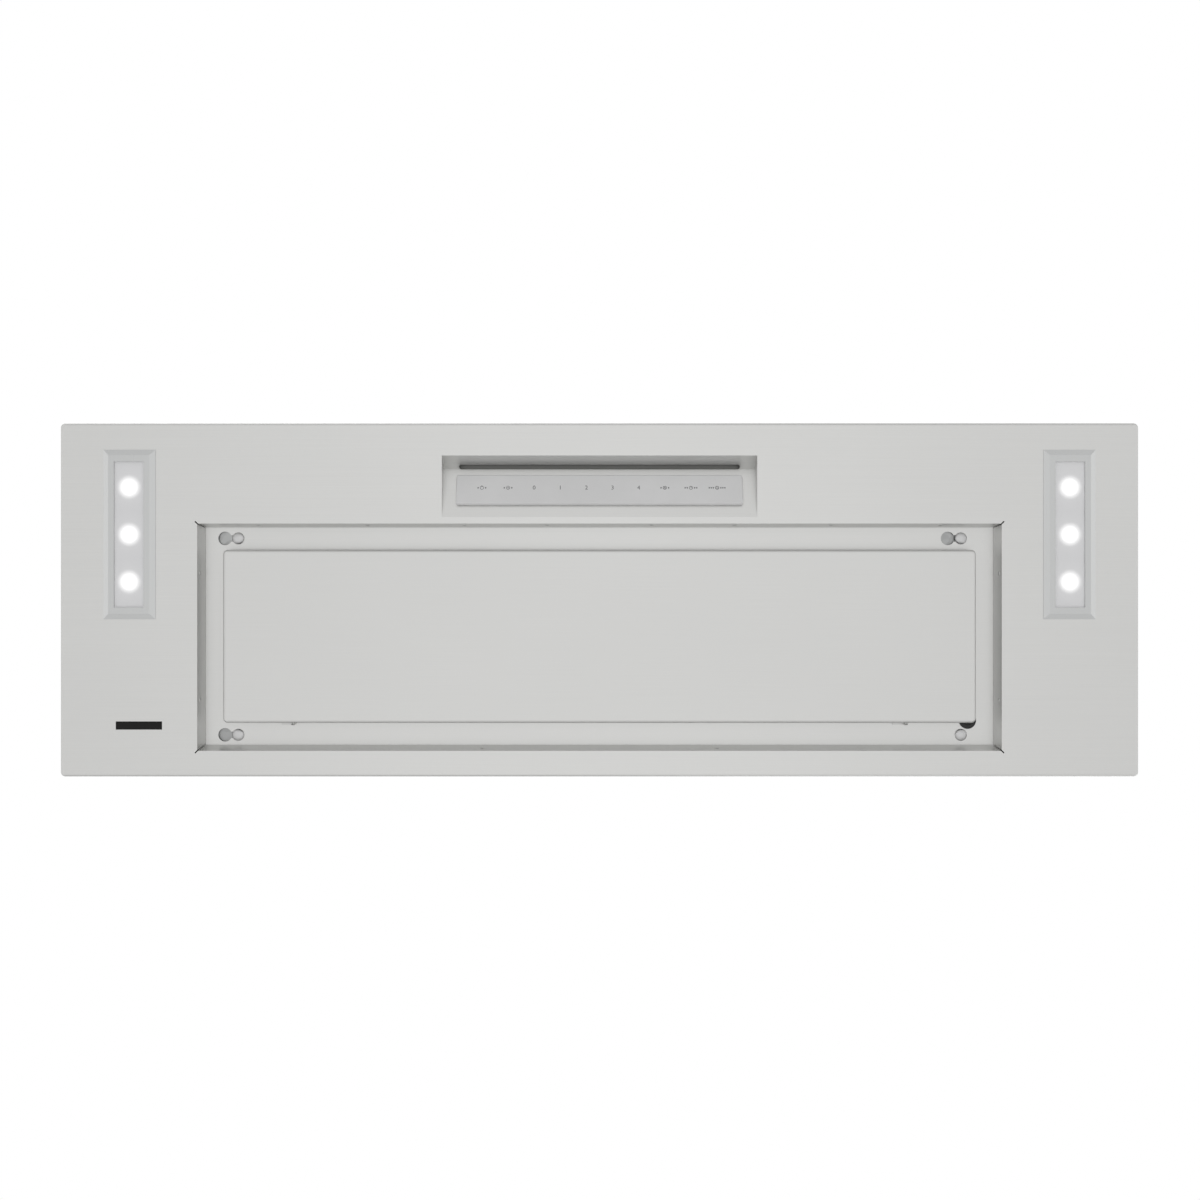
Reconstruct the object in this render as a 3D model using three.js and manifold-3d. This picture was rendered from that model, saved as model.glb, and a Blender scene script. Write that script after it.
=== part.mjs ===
// Range hood insert: a built-in ventilator that hangs in a cabinet over a cooktop, seen from below.
// Millimetres, +Z up. The front of the hood is -Y and its right side, for the cook, is +X.
// Z = 0 is the lowest plane, the faces of the two lamp bezels, and the origin is under the middle.
import * as THREE from "three";
import { mergeVertices } from "three/addons/utils/BufferGeometryUtils.js";
import Module from "manifold-3d";

// ---- Driving dimensions ----

// Sheet metal, and the gap left between two pieces that touch.
const SHEET = 1.2;
const GAP = 0.3;

// Fascia: the stainless plate under the cabinet, with its edges bent up all round.
const FASCIA_WIDTH = 1168;
const FASCIA_DEPTH = 383;
const FASCIA_CORNER = 5;
const RIM_HEIGHT = 14.5;
const RIM_BEND = 3;

// Cut-out in the fascia. Its walls lean inwards as they rise to the suction tray.
const CUTOUT_END_MARGIN = 148.5;
const CUTOUT_FRONT_MARGIN = 108.8;
const CUTOUT_REAR_MARGIN = 28.2;
const CUTOUT_WIDTH = FASCIA_WIDTH - 2 * CUTOUT_END_MARGIN;
const CUTOUT_DEPTH = FASCIA_DEPTH - CUTOUT_FRONT_MARGIN - CUTOUT_REAR_MARGIN;
const CUTOUT_Y = (CUTOUT_FRONT_MARGIN - CUTOUT_REAR_MARGIN) / 2;
const LEDGE_DEPTH = 19;
const WALL_LEAN = 4;
const SEAM_WIDTH = 1.3;
const SEAM_OUTSIDE = 2.5;

// Pressed control recess: a steep front wall, then a floor that slopes back down to the plate.
const RECESS_WIDTH = 341.5;
const RECESS_FRONT_MARGIN = 35.1;
const RECESS_WALL_RUN = 13.9;
const RECESS_FLOOR_RUN = 52.7;
const RECESS_DEPTH = 19;
const RECESS_FRONT = RECESS_FRONT_MARGIN - FASCIA_DEPTH / 2;
const RECESS_FOOT = RECESS_FRONT + RECESS_WALL_RUN;
const RECESS_REAR = RECESS_FOOT + RECESS_FLOOR_RUN;
const AIR_SLOT_END_GAP = 17.25;
const AIR_SLOT_DEPTH = 4.8;
const AIR_SLOT_WIDTH = RECESS_WIDTH - 2 * AIR_SLOT_END_GAP;

// Guard over the air slot: a narrow channel that stands on the ridge of the recess.
const GUARD_FOOT = 8;
const GUARD_RISE = 3;
const GUARD_FRONT = 9;
const GUARD_REAR = 4;

// Touch strip on the recess floor, and the control unit behind it.
const STRIP_END_GAP = 14.75;
const STRIP_WIDTH = RECESS_WIDTH - 2 * STRIP_END_GAP;
const STRIP_DEPTH = 34;
const STRIP_THICKNESS = 5;
const STRIP_CORNER = 3.2;
const STRIP_PLACE = -2.5;
const STRIP_EDGE_ROUND = 1.6;
const TOUCH_WINDOW_INSET_X = 12;
const TOUCH_WINDOW_INSET_Y = 8;
const CONTROL_BORDER_X = 2;
const CONTROL_BORDER_Y = 1;
const CONTROL_HEIGHT = 24;
const CONTROL_WIDTH = STRIP_WIDTH + 2 * CONTROL_BORDER_X;
const CONTROL_DEPTH = STRIP_DEPTH + 2 * CONTROL_BORDER_Y;
const BOARD_PLUG = { width: 24, depth: 10, height: 9, inset: 20 };
const BOARD_CHIP = { size: 14, height: 2.4, y: 2 };
const PLASTIC = 1.8;
const BOARD = 1.6;

// Lamp bars, one at each side.
const LAMP_END_MARGIN = 75.3;
const LAMP_FRONT_MARGIN = 28.85;
const BEZEL_DROP = 3;
const BEZEL_WIDTH = 56.5;
const BEZEL_LENGTH = 183.5;
const BEZEL_BEVEL = 6;
const BEZEL_FACE_X = 12.25;
const BEZEL_FACE_Y = 13;
const LAMP_X = FASCIA_WIDTH / 2 - LAMP_END_MARGIN;
const LAMP_Y = LAMP_FRONT_MARGIN + BEZEL_LENGTH / 2 - FASCIA_DEPTH / 2;
const LAMP_WINDOW_WIDTH = BEZEL_WIDTH - 2 * BEZEL_FACE_X;
const LAMP_WINDOW_LENGTH = BEZEL_LENGTH - 2 * BEZEL_FACE_Y;
const LENS_RECESS = 1.2;
const LENS_THICKNESS = 2;
const LENS_OVERLAP = 1.8;
const SPIGOT_WALL = 2.2;
const SPIGOT_HEIGHT = 6;
const LED_COUNT = 3;
const LED_PITCH = 51.15;
const LED_RADIUS = 9.5;
const LED_HEIGHT = 2.6;
const LAMP_HOUSING_HEIGHT = 22;
const LAMP_FOOT_REACH = 7;
const LAMP_FOOT_SETBACK = 15;

// Light and smoke sensor window, in the plate's rear left corner.
const SENSOR_END_MARGIN = 85.4;
const SENSOR_REAR_MARGIN = 55.6;
const SENSOR_X = SENSOR_END_MARGIN - FASCIA_WIDTH / 2;
const SENSOR_Y = FASCIA_DEPTH / 2 - SENSOR_REAR_MARGIN;
const SENSOR_WIDTH = 49.5;
const SENSOR_DEPTH = 8.3;
const SENSOR_LIP = 4;
const SENSOR_BACK_HEIGHT = 2;
const SENSOR_BOX_HEIGHT = 11;
const SENSOR_BOX_BORDER = { x: 2, y: 3 };

// Suction cover, which hangs in the cut-out and swings down on its rear edge.
const SLOT_END = 26.5;
const SLOT_FRONT = 28.5;
const SLOT_REAR = 29.5;
const COVER_WIDTH = CUTOUT_WIDTH - 2 * SLOT_END;
const COVER_DEPTH = CUTOUT_DEPTH - SLOT_FRONT - SLOT_REAR;
const COVER_Y = CUTOUT_Y + (SLOT_FRONT - SLOT_REAR) / 2;
const COVER_SETBACK = 3;
const SLOT_RISE = 8;
const COVER_HEIGHT = LEDGE_DEPTH - COVER_SETBACK - SLOT_RISE;
const COVER_CORNER = 5;
const COVER_BEND = 3.5;
const STIFFENER_END_GAP = 99;
const STIFFENER_WIDTH = COVER_WIDTH - 2 * STIFFENER_END_GAP;
const STIFFENER_DEPTH = 26;
const STIFFENER_HEIGHT = 5;

// Hinges of the cover.
const HINGE_END_INSET = 74.5;
const HINGE_X = COVER_WIDTH / 2 - HINGE_END_INSET;
const HINGE_INSET = 0.9;
const HINGE_DROP = 5.5;
const LUG_RADIUS = 4.3;
const LUG_THICKNESS = 1.4;
const PIN_RADIUS = 1.5;
const PIN_HEAD_RADIUS = 2.2;
const PIN_HEAD = 1;
const FOOT_LENGTH = 12;
const EAR_LENGTH = 26;
const LUG_GAP = 0.4;
const PIN_CLEARANCE = 0.35;

// Magnet catches that hold the cover's front edge up.
const MAGNET_END_INSET = 109;
const MAGNET_X = COVER_WIDTH / 2 - MAGNET_END_INSET;
const MAGNET_WIDTH = 26;
const MAGNET_DEPTH = 9;
const MAGNET_BACK_FROM_EDGE = 6;
const MAGNET_GROOVE = { width: 2.4, depth: 1.5 };

// Suction tray: the sheet over the cut-out, with the filter opening behind the cover.
const SKIRT_HEIGHT = 12;
const COVER_LAP_END = 28;
const COVER_LAP_FRONT = 16.2;
const COVER_LAP_REAR = 11.8;
const FILTER_OPENING_WIDTH = COVER_WIDTH - 2 * COVER_LAP_END;
const FILTER_OPENING_DEPTH = COVER_DEPTH - COVER_LAP_FRONT - COVER_LAP_REAR;
const FILTER_OPENING_Y = COVER_Y + (COVER_LAP_FRONT - COVER_LAP_REAR) / 2;

// Keyhole studs that carry the tray, and the screw that locks it.
const STUD_END_INSET = 39.5;
const STUD_FRONT_INSET = 15.9;
const STUD_REAR_INSET = 14.8;
const STUD_X = CUTOUT_WIDTH / 2 - STUD_END_INSET;
const STUD_FRONT_Y = CUTOUT_Y - CUTOUT_DEPTH / 2 + STUD_FRONT_INSET;
const STUD_REAR_Y = CUTOUT_Y + CUTOUT_DEPTH / 2 - STUD_REAR_INSET;
const STUD_HEAD_RADIUS = 6.5;
const STUD_HEAD_HEIGHT = 2.6;
const STUD_SHANK_RADIUS = 3;
const STUD_COLLAR = { border: 2.5, height: 3 };
const STUD_SIDES = 16;
const KEYHOLE_CLEARANCE = 1;
const KEYHOLE_RADIUS = STUD_HEAD_RADIUS + KEYHOLE_CLEARANCE;
const KEYHOLE_SLOT_CLEARANCE = 0.5;
const KEYHOLE_SHIFT = 14.4;
const PLUG_END_INSET = 5.8;
const PLUG_REAR_INSET = 1.2;
const PLUG_X = COVER_WIDTH / 2 - PLUG_END_INSET;
const PLUG_Y = COVER_Y + COVER_DEPTH / 2 - PLUG_REAR_INSET;
const PLUG_HOLE_RADIUS = 8;
const PLUG_BORDER = 1.3;
const PLUG_RADIUS = PLUG_HOLE_RADIUS + PLUG_BORDER;
const PLUG_HEAD = 1.6;
const PLUG_LIP = 1.5;

// Support rails across the housing, which hold the studs.
const RAIL_WIDTH = 24;
const RAIL_HEIGHT = 14;
const RAIL_SHEET = 1.5;
const RAIL_EAR = 10;

// Grease filters, side by side over the tray's opening.
const FILTER_COUNT = 3;
const FILTER_SIDE_GAP = 4;
const FILTER_END_GAP = 1;
const FILTER_PITCH = FILTER_OPENING_WIDTH / FILTER_COUNT;
const FILTER_WIDTH = FILTER_PITCH - FILTER_SIDE_GAP;
const FILTER_DEPTH = FILTER_OPENING_DEPTH - 2 * FILTER_END_GAP;
const FILTER_HEIGHT = 10;
const FILTER_DROP = 1.5;
const FILTER_RAIL = 12;
const FILTER_FRONT_RAIL = 28;
const MESH_HEIGHT = 5.6;
const MESH_OVERLAP = 4;
const FILTER_TAB_WIDTH = 30;
const FILTER_TAB_REACH = 5;
const LATCH_WIDTH = 30;
const LATCH_LENGTH = 20;
const LATCH_THICKNESS = 1.6;
const LATCH_REACH = 4;
const LATCH_TRAVEL = 5;
const THUMB_WIDTH = 16;
const THUMB_THICKNESS = 2.4;
const THUMB_DROP = 3;

// Housing: the box above the fascia, with a flange that screws to the cabinet.
const HOUSING_END_MARGIN = 24;
const HOUSING_SIDE_MARGIN = 21.5;
const HOUSING_WIDTH = FASCIA_WIDTH - 2 * HOUSING_END_MARGIN;
const HOUSING_DEPTH = FASCIA_DEPTH - 2 * HOUSING_SIDE_MARGIN;
const FLANGE_REACH = 16;
const FLANGE_HOLE_RADIUS = 2.6;
const FLANGE_HOLE_INSET = 40;
const TOP_RETURN = 14;

// Duct collar and its two damper flaps.
const COLLAR_RADIUS = 101;
const COLLAR_HEIGHT = 46;
const COLLAR_FLANGE = 15;
const COLLAR_SIDES = 40;
const DAMPER_RISE = 8;
const DAMPER_ROD_RADIUS = 2.4;
const DAMPER_SPLIT = 4.2;
const DAMPER_CLEARANCE = 2;
const DAMPER_KNUCKLE = 26;
const KNUCKLE_LENGTH = 12;
const KNUCKLE_SIDES = 16;
const DAMPER_STOP = 4;

// Blower: a spiral casing round a double-inlet wheel on a cross shaft.
const WHEEL_RADIUS = 74;
const BLADE_DEPTH = 14;
const WHEEL_INNER_RADIUS = WHEEL_RADIUS - BLADE_DEPTH;
const OUTLET_NECK = 12.6;
const SCROLL_FLOOR_GAP = 17.7;
const COLLAR_SHIFT = 84;
const SCROLL_HALF_WIDTH = 100;
const SCROLL_CLEARANCE = 9;
const SCROLL_GROWTH = 44;
const SCROLL_FRONT_GAP = 9.4;
const SCROLL_START_RADIUS = WHEEL_RADIUS + SCROLL_CLEARANCE;
const SCROLL_END_RADIUS = SCROLL_START_RADIUS + SCROLL_GROWTH;
const SCROLL_START_DEG = 60;
const SCROLL_STEPS = 30;
const TONGUE_DROP = 6;
const OUTLET_FLANGE = 10;
const INLET_RADIUS = WHEEL_INNER_RADIUS;
const INLET_FLARE = 9;
const EYE_SIDES = 28;
const INLET_LIP = 8;
const WHEEL_HALF_WIDTH = 90;
const WHEEL_BLADES = 32;
const BLADE_THICKNESS = 1;
const BLADE_LEAN = 7;
const BLADE_STEPS = 2;
const WHEEL_SIDES = 32;
const WHEEL_RING = 3;
const WHEEL_DISC = 2;
const HUB_RADIUS = 13;
const HUB_LENGTH = 20;
const SHAFT_RADIUS = 4;
const MOTOR_RADIUS = 42;
const MOTOR_LENGTH = 62;
const MOTOR_GAP = 3;
const SHAFT_SEAT = 18;
const SHAFT_END = 3;
const SPIDER_ARMS = 3;
const SPIDER_ARM_WIDTH = 14;
const SPIDER_THICKNESS = 2;
const SPIDER_BOSS_BORDER = 3;

// Electrical parts inside the housing.
const BOX_END_INSET = 90;
const BOX_X = BOX_END_INSET - HOUSING_WIDTH / 2;
const BOX_WIDTH = 110;
const BOX_DEPTH = 90;
const BOX_HEIGHT = 44;
const KNOCKOUT_RADIUS = 11;
const MODULE_X = 330;
const MODULE_CORNER = 6;
const SOCKET = { width: 28, depth: 12, height: 10, x: 40 };
const MODULE_WIDTH = 150;
const MODULE_HEIGHT = 80;
const MODULE_DEPTH = 36;
const CAPACITOR_X = 205;
const CAPACITOR_RADIUS = 20;
const CAPACITOR_LENGTH = 72;
const CAPACITOR_ROUND = 3;

// ---- Levels and places that follow ----

const PLATE_Z = BEZEL_DROP;
const PLATE_TOP = PLATE_Z + SHEET;
const RIM_TOP = PLATE_Z + RIM_HEIGHT;
const LEDGE_Z = PLATE_Z + LEDGE_DEPTH;
const TRAY_TOP = LEDGE_Z + SHEET;
const COVER_Z = PLATE_Z + COVER_SETBACK;
const COVER_FRONT = COVER_Y - COVER_DEPTH / 2;
const COVER_REAR = COVER_Y + COVER_DEPTH / 2;
const HINGE_Y = COVER_REAR - HINGE_INSET;
const HINGE_Z = LEDGE_Z - HINGE_DROP;
const RAIL_Z = TRAY_TOP + PLUG_LIP + GAP;
const INNER_WIDTH = HOUSING_WIDTH - 2 * SHEET;
const INNER_DEPTH = HOUSING_DEPTH - 2 * SHEET;
const FLANGE_TOP = RIM_TOP;
const WRAP_Z = FLANGE_TOP - SHEET;
const FILTER_Z = LEDGE_Z - FILTER_DROP;
const FILTER_TOP = FILTER_Z + FILTER_HEIGHT;
const SCROLL_SWEEP = 360 - SCROLL_START_DEG;
const scrollRadius = (degrees) =>
  SCROLL_START_RADIUS + (SCROLL_GROWTH * (degrees - SCROLL_START_DEG)) / SCROLL_SWEEP;
const BLOWER_Y = SCROLL_FRONT_GAP + scrollRadius(180) - HOUSING_DEPTH / 2;
const BLOWER_Z = FILTER_TOP + SCROLL_FLOOR_GAP + scrollRadius(270);
const HOUSING_TOP = BLOWER_Z + scrollRadius(90) + OUTLET_NECK;
const ROOF_TOP = HOUSING_TOP + GAP + SHEET;
const COLLAR_TOP = ROOF_TOP + GAP + COLLAR_HEIGHT;
const DAMPER_Z = ROOF_TOP + GAP + DAMPER_RISE;
const COLLAR_Y = BLOWER_Y + COLLAR_SHIFT;
const SIDES = [-1, 1];
const side = (s) => (s < 0 ? "left" : "right");

// ---- Shapes ----

const wasm = await Module();
wasm.setup();

// A geometry as a closed solid that can be joined and cut.
function solid(geometry) {
  const bare = geometry.clone();
  bare.deleteAttribute("normal");
  bare.deleteAttribute("uv");
  const merged = mergeVertices(bare, 1e-4);
  const vertProperties = merged.attributes.position.array;
  const triVerts = new Uint32Array(merged.index.array);
  return new wasm.Manifold(new wasm.Mesh({ numProp: 3, vertProperties, triVerts }));
}

function geometryOf(manifold) {
  const mesh = manifold.getMesh();
  const geometry = new THREE.BufferGeometry();
  geometry.setAttribute("position", new THREE.BufferAttribute(mesh.vertProperties, 3));
  geometry.setIndex(new THREE.BufferAttribute(mesh.triVerts, 1));
  return geometry;
}

function join(first, ...others) {
  return geometryOf(others.reduce((whole, part) => whole.add(solid(part)), solid(first)));
}

function cut(first, ...tools) {
  return geometryOf(tools.reduce((whole, tool) => whole.subtract(solid(tool)), solid(first)));
}

function meet(first, second) {
  return geometryOf(solid(first).intersect(solid(second)));
}

// A box between two corners.
function block(x0, x1, y0, y1, z0, z1) {
  const box = new THREE.BoxGeometry(x1 - x0, y1 - y0, z1 - z0);
  return box.translate((x0 + x1) / 2, (y0 + y1) / 2, (z0 + z1) / 2);
}

// A box centred on x and y, from one height to another.
function slab(x, y, width, depth, z0, z1) {
  return block(x - width / 2, x + width / 2, y - depth / 2, y + depth / 2, z0, z1);
}

// A centred box whose top face differs in size from its bottom face by twice the lean.
function leaning(width, depth, lean, z0, z1) {
  const box = new THREE.BoxGeometry(width, depth, z1 - z0).translate(0, 0, (z0 + z1) / 2);
  const p = box.attributes.position;
  const middle = (z0 + z1) / 2;
  for (let i = 0; i < p.count; i++) {
    if (p.getZ(i) < middle) continue;
    p.setX(i, p.getX(i) - Math.sign(p.getX(i)) * lean);
    p.setY(i, p.getY(i) - Math.sign(p.getY(i)) * lean);
  }
  return box;
}

function roundedRect(width, depth, radius) {
  const x = width / 2 - radius;
  const y = depth / 2 - radius;
  const shape = new THREE.Shape();
  shape.absarc(x, y, radius, 0, Math.PI / 2);
  shape.absarc(-x, y, radius, Math.PI / 2, Math.PI);
  shape.absarc(-x, -y, radius, Math.PI, 1.5 * Math.PI);
  shape.absarc(x, -y, radius, 1.5 * Math.PI, 2 * Math.PI);
  return shape;
}

// A rounded plate between two heights.
function roundedSlab(x, y, width, depth, radius, z0, z1, steps = 4) {
  const options = { depth: z1 - z0, bevelEnabled: false, curveSegments: steps };
  return new THREE.ExtrudeGeometry(roundedRect(width, depth, radius), options).translate(x, y, z0);
}

// A rounded block whose lower edge is rounded too, like the outside of a folded pan.
function pillow(width, depth, corner, bend, z0, z1) {
  const shape = roundedRect(width - 2 * bend, depth - 2 * bend, Math.max(corner - bend, 0.4));
  const options = {
    depth: z1 - z0,
    bevelThickness: bend,
    bevelSize: bend,
    bevelSegments: 3,
    curveSegments: 3,
  };
  const full = new THREE.ExtrudeGeometry(shape, options).translate(0, 0, z0 + bend);
  return meet(full, slab(0, 0, width + 2, depth + 2, z0 - 1, z1));
}

// A folded sheet-metal pan: floor at the bottom, walls up to z1.
function pan(width, depth, corner, bend, z0, z1) {
  const outer = pillow(width, depth, corner, bend, z0, z1);
  const w = width - 2 * SHEET;
  const d = depth - 2 * SHEET;
  const inner = pillow(w, d, corner - SHEET, bend - SHEET, z0 + SHEET, z1 + 1);
  return cut(outer, inner);
}

// A revolved solid about the Z axis, from [radius, height] pairs going up the outside.
function turned(points, sides = 20) {
  const outline = points.map(([r, z]) => new THREE.Vector2(r, z));
  return new THREE.LatheGeometry(outline, sides).rotateX(Math.PI / 2);
}

function rod(radius, z0, z1, sides = 20) {
  return turned([[0, z0], [radius, z0], [radius, z1], [0, z1]], sides);
}

// The same, lying along X.
const alongX = (geometry) => geometry.rotateY(Math.PI / 2);

// A profile of [y, z] points extruded along X.
function extrudedX(points, x0, x1) {
  const shape = new THREE.Shape(points.map(([y, z]) => new THREE.Vector2(y, z)));
  const geometry = new THREE.ExtrudeGeometry(shape, { depth: x1 - x0, bevelEnabled: false });
  return geometry.rotateX(Math.PI / 2).rotateZ(Math.PI / 2).translate(x0, 0, 0);
}

// ---- Materials ----

function finish(color, roughness, metalness) {
  return new THREE.MeshStandardMaterial({ color, roughness, metalness, flatShading: true });
}

const STEEL = finish(0xc8c8c6, 0.38, 0.9);
const GALVANISED = finish(0xaeb3b6, 0.5, 0.85);
const BLACK = finish(0x1b1b19, 0.45, 0);
const GREY_PLASTIC = finish(0xbabcbb, 0.5, 0);
const STRIP_GLASS = finish(0xbdbdbd, 0.25, 0);
const LENS = finish(0xe2e2e4, 0.3, 0);
const BOARD_GREEN = finish(0x2f6b46, 0.6, 0);
const MESH = finish(0x9a9d9f, 0.6, 0.8);
const WHITE_PLASTIC = finish(0xe4e4df, 0.55, 0);

const hood = new THREE.Group();

function place(name, geometry, material, parent = hood) {
  geometry.computeVertexNormals();
  const mesh = new THREE.Mesh(geometry, material);
  mesh.name = name;
  parent.add(mesh);
  return mesh;
}

// ---- Control recess frame ----

// The recess floor as a frame of its own: y runs back along the slope, z points into the hood.
const FLOOR_ANGLE = Math.atan2(RECESS_DEPTH, RECESS_REAR - RECESS_FOOT);
const WALL_ANGLE = Math.atan2(RECESS_DEPTH, RECESS_FOOT - RECESS_FRONT);
const slope = new THREE.Group();
slope.position.set(0, (RECESS_FOOT + RECESS_REAR) / 2, PLATE_Z + RECESS_DEPTH / 2);
slope.rotation.x = -FLOOR_ANGLE;
slope.updateMatrixWorld(true);
hood.add(slope);
const onSlope = (geometry) => geometry.applyMatrix4(slope.matrixWorld);

// The recess as a solid wedge, larger than the hollow by grow on every face.
function wedge(grow, z0) {
  const front = (z) => RECESS_FRONT + (z - PLATE_Z) / Math.tan(WALL_ANGLE) - grow / Math.sin(WALL_ANGLE);
  const rear = (z) => RECESS_REAR - (z - PLATE_Z) / Math.tan(FLOOR_ANGLE) + grow / Math.sin(FLOOR_ANGLE);
  const closing = 1 / Math.tan(WALL_ANGLE) + 1 / Math.tan(FLOOR_ANGLE);
  const apex = PLATE_Z + (rear(PLATE_Z) - front(PLATE_Z)) / closing;
  const half = RECESS_WIDTH / 2 + grow;
  return extrudedX([[front(z0), z0], [rear(z0), z0], [front(apex), apex]], -half, half);
}

function heightsOf(geometry) {
  const p = geometry.attributes.position;
  return Array.from({ length: p.count }, (_, i) => p.getZ(i));
}

// ---- Fascia ----

const lampSpigot = {
  width: LAMP_WINDOW_WIDTH + 2 * (LENS_OVERLAP + GAP + SPIGOT_WALL),
  length: LAMP_WINDOW_LENGTH + 2 * (LENS_OVERLAP + GAP + SPIGOT_WALL),
};

// A slit at each corner of the cut-out, where two folded walls meet.
function cornerSeams() {
  const x = CUTOUT_WIDTH / 2;
  const y = CUTOUT_DEPTH / 2;
  const inside = WALL_LEAN + 3 * SHEET;
  const length = (SEAM_OUTSIDE + inside) * Math.SQRT2;
  const middle = (SEAM_OUTSIDE - inside) / 2;
  const seams = [];
  for (const sx of SIDES) {
    for (const sy of SIDES) {
      const seam = slab(0, 0, length, SEAM_WIDTH, PLATE_Z - 1, LEDGE_Z + 1);
      seam.rotateZ((sx * sy * Math.PI) / 4);
      seams.push(seam.translate(sx * (x + middle), CUTOUT_Y + sy * (y + middle), 0));
    }
  }
  return seams;
}

function fasciaPanel() {
  const sheet = pan(FASCIA_WIDTH, FASCIA_DEPTH, FASCIA_CORNER, RIM_BEND, PLATE_Z, RIM_TOP);
  const wallTop = LEDGE_Z - GAP;
  const lean = WALL_LEAN * ((wallTop - PLATE_Z) / LEDGE_DEPTH);
  const wallWidth = CUTOUT_WIDTH + 2 * SHEET;
  const wallDepth = CUTOUT_DEPTH + 2 * SHEET;
  const walls = leaning(wallWidth, wallDepth, lean, PLATE_Z, wallTop).translate(0, CUTOUT_Y, 0);
  const over = WALL_LEAN / LEDGE_DEPTH;
  const hole = leaning(
    CUTOUT_WIDTH + 2 * over,
    CUTOUT_DEPTH + 2 * over,
    WALL_LEAN + 2 * over,
    PLATE_Z - 1,
    LEDGE_Z + 1,
  ).translate(0, CUTOUT_Y, 0);
  const slot = roundedSlab(
    0,
    RECESS_FOOT - AIR_SLOT_DEPTH / 2,
    AIR_SLOT_WIDTH,
    AIR_SLOT_DEPTH,
    AIR_SLOT_DEPTH / 2 - 0.1,
    PLATE_Z + 4,
    LEDGE_Z + 5,
  );
  const windowWidth = STRIP_WIDTH - 2 * TOUCH_WINDOW_INSET_X;
  const windowDepth = STRIP_DEPTH - 2 * TOUCH_WINDOW_INSET_Y;
  const window = onSlope(slab(0, STRIP_PLACE, windowWidth, windowDepth, -2, 3));
  const lamps = SIDES.map((s) =>
    slab(
      s * LAMP_X,
      LAMP_Y,
      lampSpigot.width + 2 * GAP,
      lampSpigot.length + 2 * GAP,
      PLATE_Z - 1,
      PLATE_TOP + 1,
    ),
  );
  const sensor = slab(
    SENSOR_X,
    SENSOR_Y,
    SENSOR_WIDTH + 2 * GAP,
    SENSOR_DEPTH + 2 * GAP,
    PLATE_Z - 1,
    PLATE_TOP + 1,
  );
  const whole = join(sheet, walls, wedge(SHEET, PLATE_Z));
  return cut(whole, hole, wedge(0, PLATE_Z - 1), slot, window, sensor, ...lamps, ...cornerSeams());
}

place("fascia_panel", fasciaPanel(), STEEL);

// A guard over the air slot, on two feet that stand on the ridge of the recess.
function airGuard() {
  const ridge = Math.max(...heightsOf(wedge(SHEET, PLATE_Z)));
  const half = AIR_SLOT_WIDTH / 2 + GUARD_FOOT;
  const y0 = RECESS_FOOT - GUARD_FRONT;
  const y1 = RECESS_FOOT + GUARD_REAR;
  const low = ridge + GAP;
  const high = low + GUARD_RISE + SHEET;
  const whole = block(-half, half, y0, y1, low, high);
  const gap = AIR_SLOT_WIDTH / 2;
  return cut(whole, block(-gap, gap, y0 - 1, y1 + 1, low - 1, high - SHEET));
}

place("air_guard", airGuard(), STEEL);

// ---- Touch controls ----

const strip = pillow(
  STRIP_WIDTH,
  STRIP_DEPTH,
  STRIP_CORNER,
  STRIP_EDGE_ROUND,
  -STRIP_THICKNESS - GAP,
  -GAP,
);
place("touch_strip", strip.translate(0, STRIP_PLACE, 0), STRIP_GLASS, slope);

function controlHousing() {
  const base = SHEET + GAP;
  const outer = slab(0, 0, CONTROL_WIDTH, CONTROL_DEPTH, base, base + CONTROL_HEIGHT);
  const w = CONTROL_WIDTH - 2 * PLASTIC;
  const d = CONTROL_DEPTH - 2 * PLASTIC;
  return cut(outer, slab(0, 0, w, d, base - 1, base + CONTROL_HEIGHT - PLASTIC));
}

function controlBoard() {
  const z = SHEET + 3 * GAP;
  const w = CONTROL_WIDTH - 2 * PLASTIC - 2 * GAP;
  const d = CONTROL_DEPTH - 2 * PLASTIC - 2 * GAP;
  const board = slab(0, 0, w, d, z, z + BOARD);
  const top = z + BOARD;
  const { inset, width, depth, height } = BOARD_PLUG;
  const plug = slab(w / 2 - inset, 0, width, depth, top, top + height);
  const chip = slab(0, BOARD_CHIP.y, BOARD_CHIP.size, BOARD_CHIP.size, top, top + BOARD_CHIP.height);
  return join(board, plug, chip);
}

place("control_housing", controlHousing().translate(0, STRIP_PLACE, 0), GREY_PLASTIC, slope);
place("control_board", controlBoard().translate(0, STRIP_PLACE, 0), BOARD_GREEN, slope);

// ---- Lamp bars ----

// A stainless frame that stands proud of the plate, with a spigot through it that holds the lens.
function lampBezel() {
  const seat = PLATE_Z - GAP;
  const tall = BEZEL_DROP - GAP;
  const inner = { w: BEZEL_WIDTH - 2 * BEZEL_BEVEL, l: BEZEL_LENGTH - 2 * BEZEL_BEVEL };
  const frame = leaning(inner.w, inner.l, -BEZEL_BEVEL, 0, seat);
  const spigot = slab(0, 0, lampSpigot.width, lampSpigot.length, tall - 1, PLATE_TOP + SPIGOT_HEIGHT);
  const window = slab(0, 0, LAMP_WINDOW_WIDTH, LAMP_WINDOW_LENGTH, -1, PLATE_TOP + SPIGOT_HEIGHT + 1);
  const pocket = slab(
    0,
    0,
    lampSpigot.width - 2 * SPIGOT_WALL,
    lampSpigot.length - 2 * SPIGOT_WALL,
    LENS_RECESS,
    PLATE_TOP + SPIGOT_HEIGHT + 1,
  );
  return cut(join(frame, spigot), window, pocket);
}

const LENS_Z = LENS_RECESS + GAP;

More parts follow.
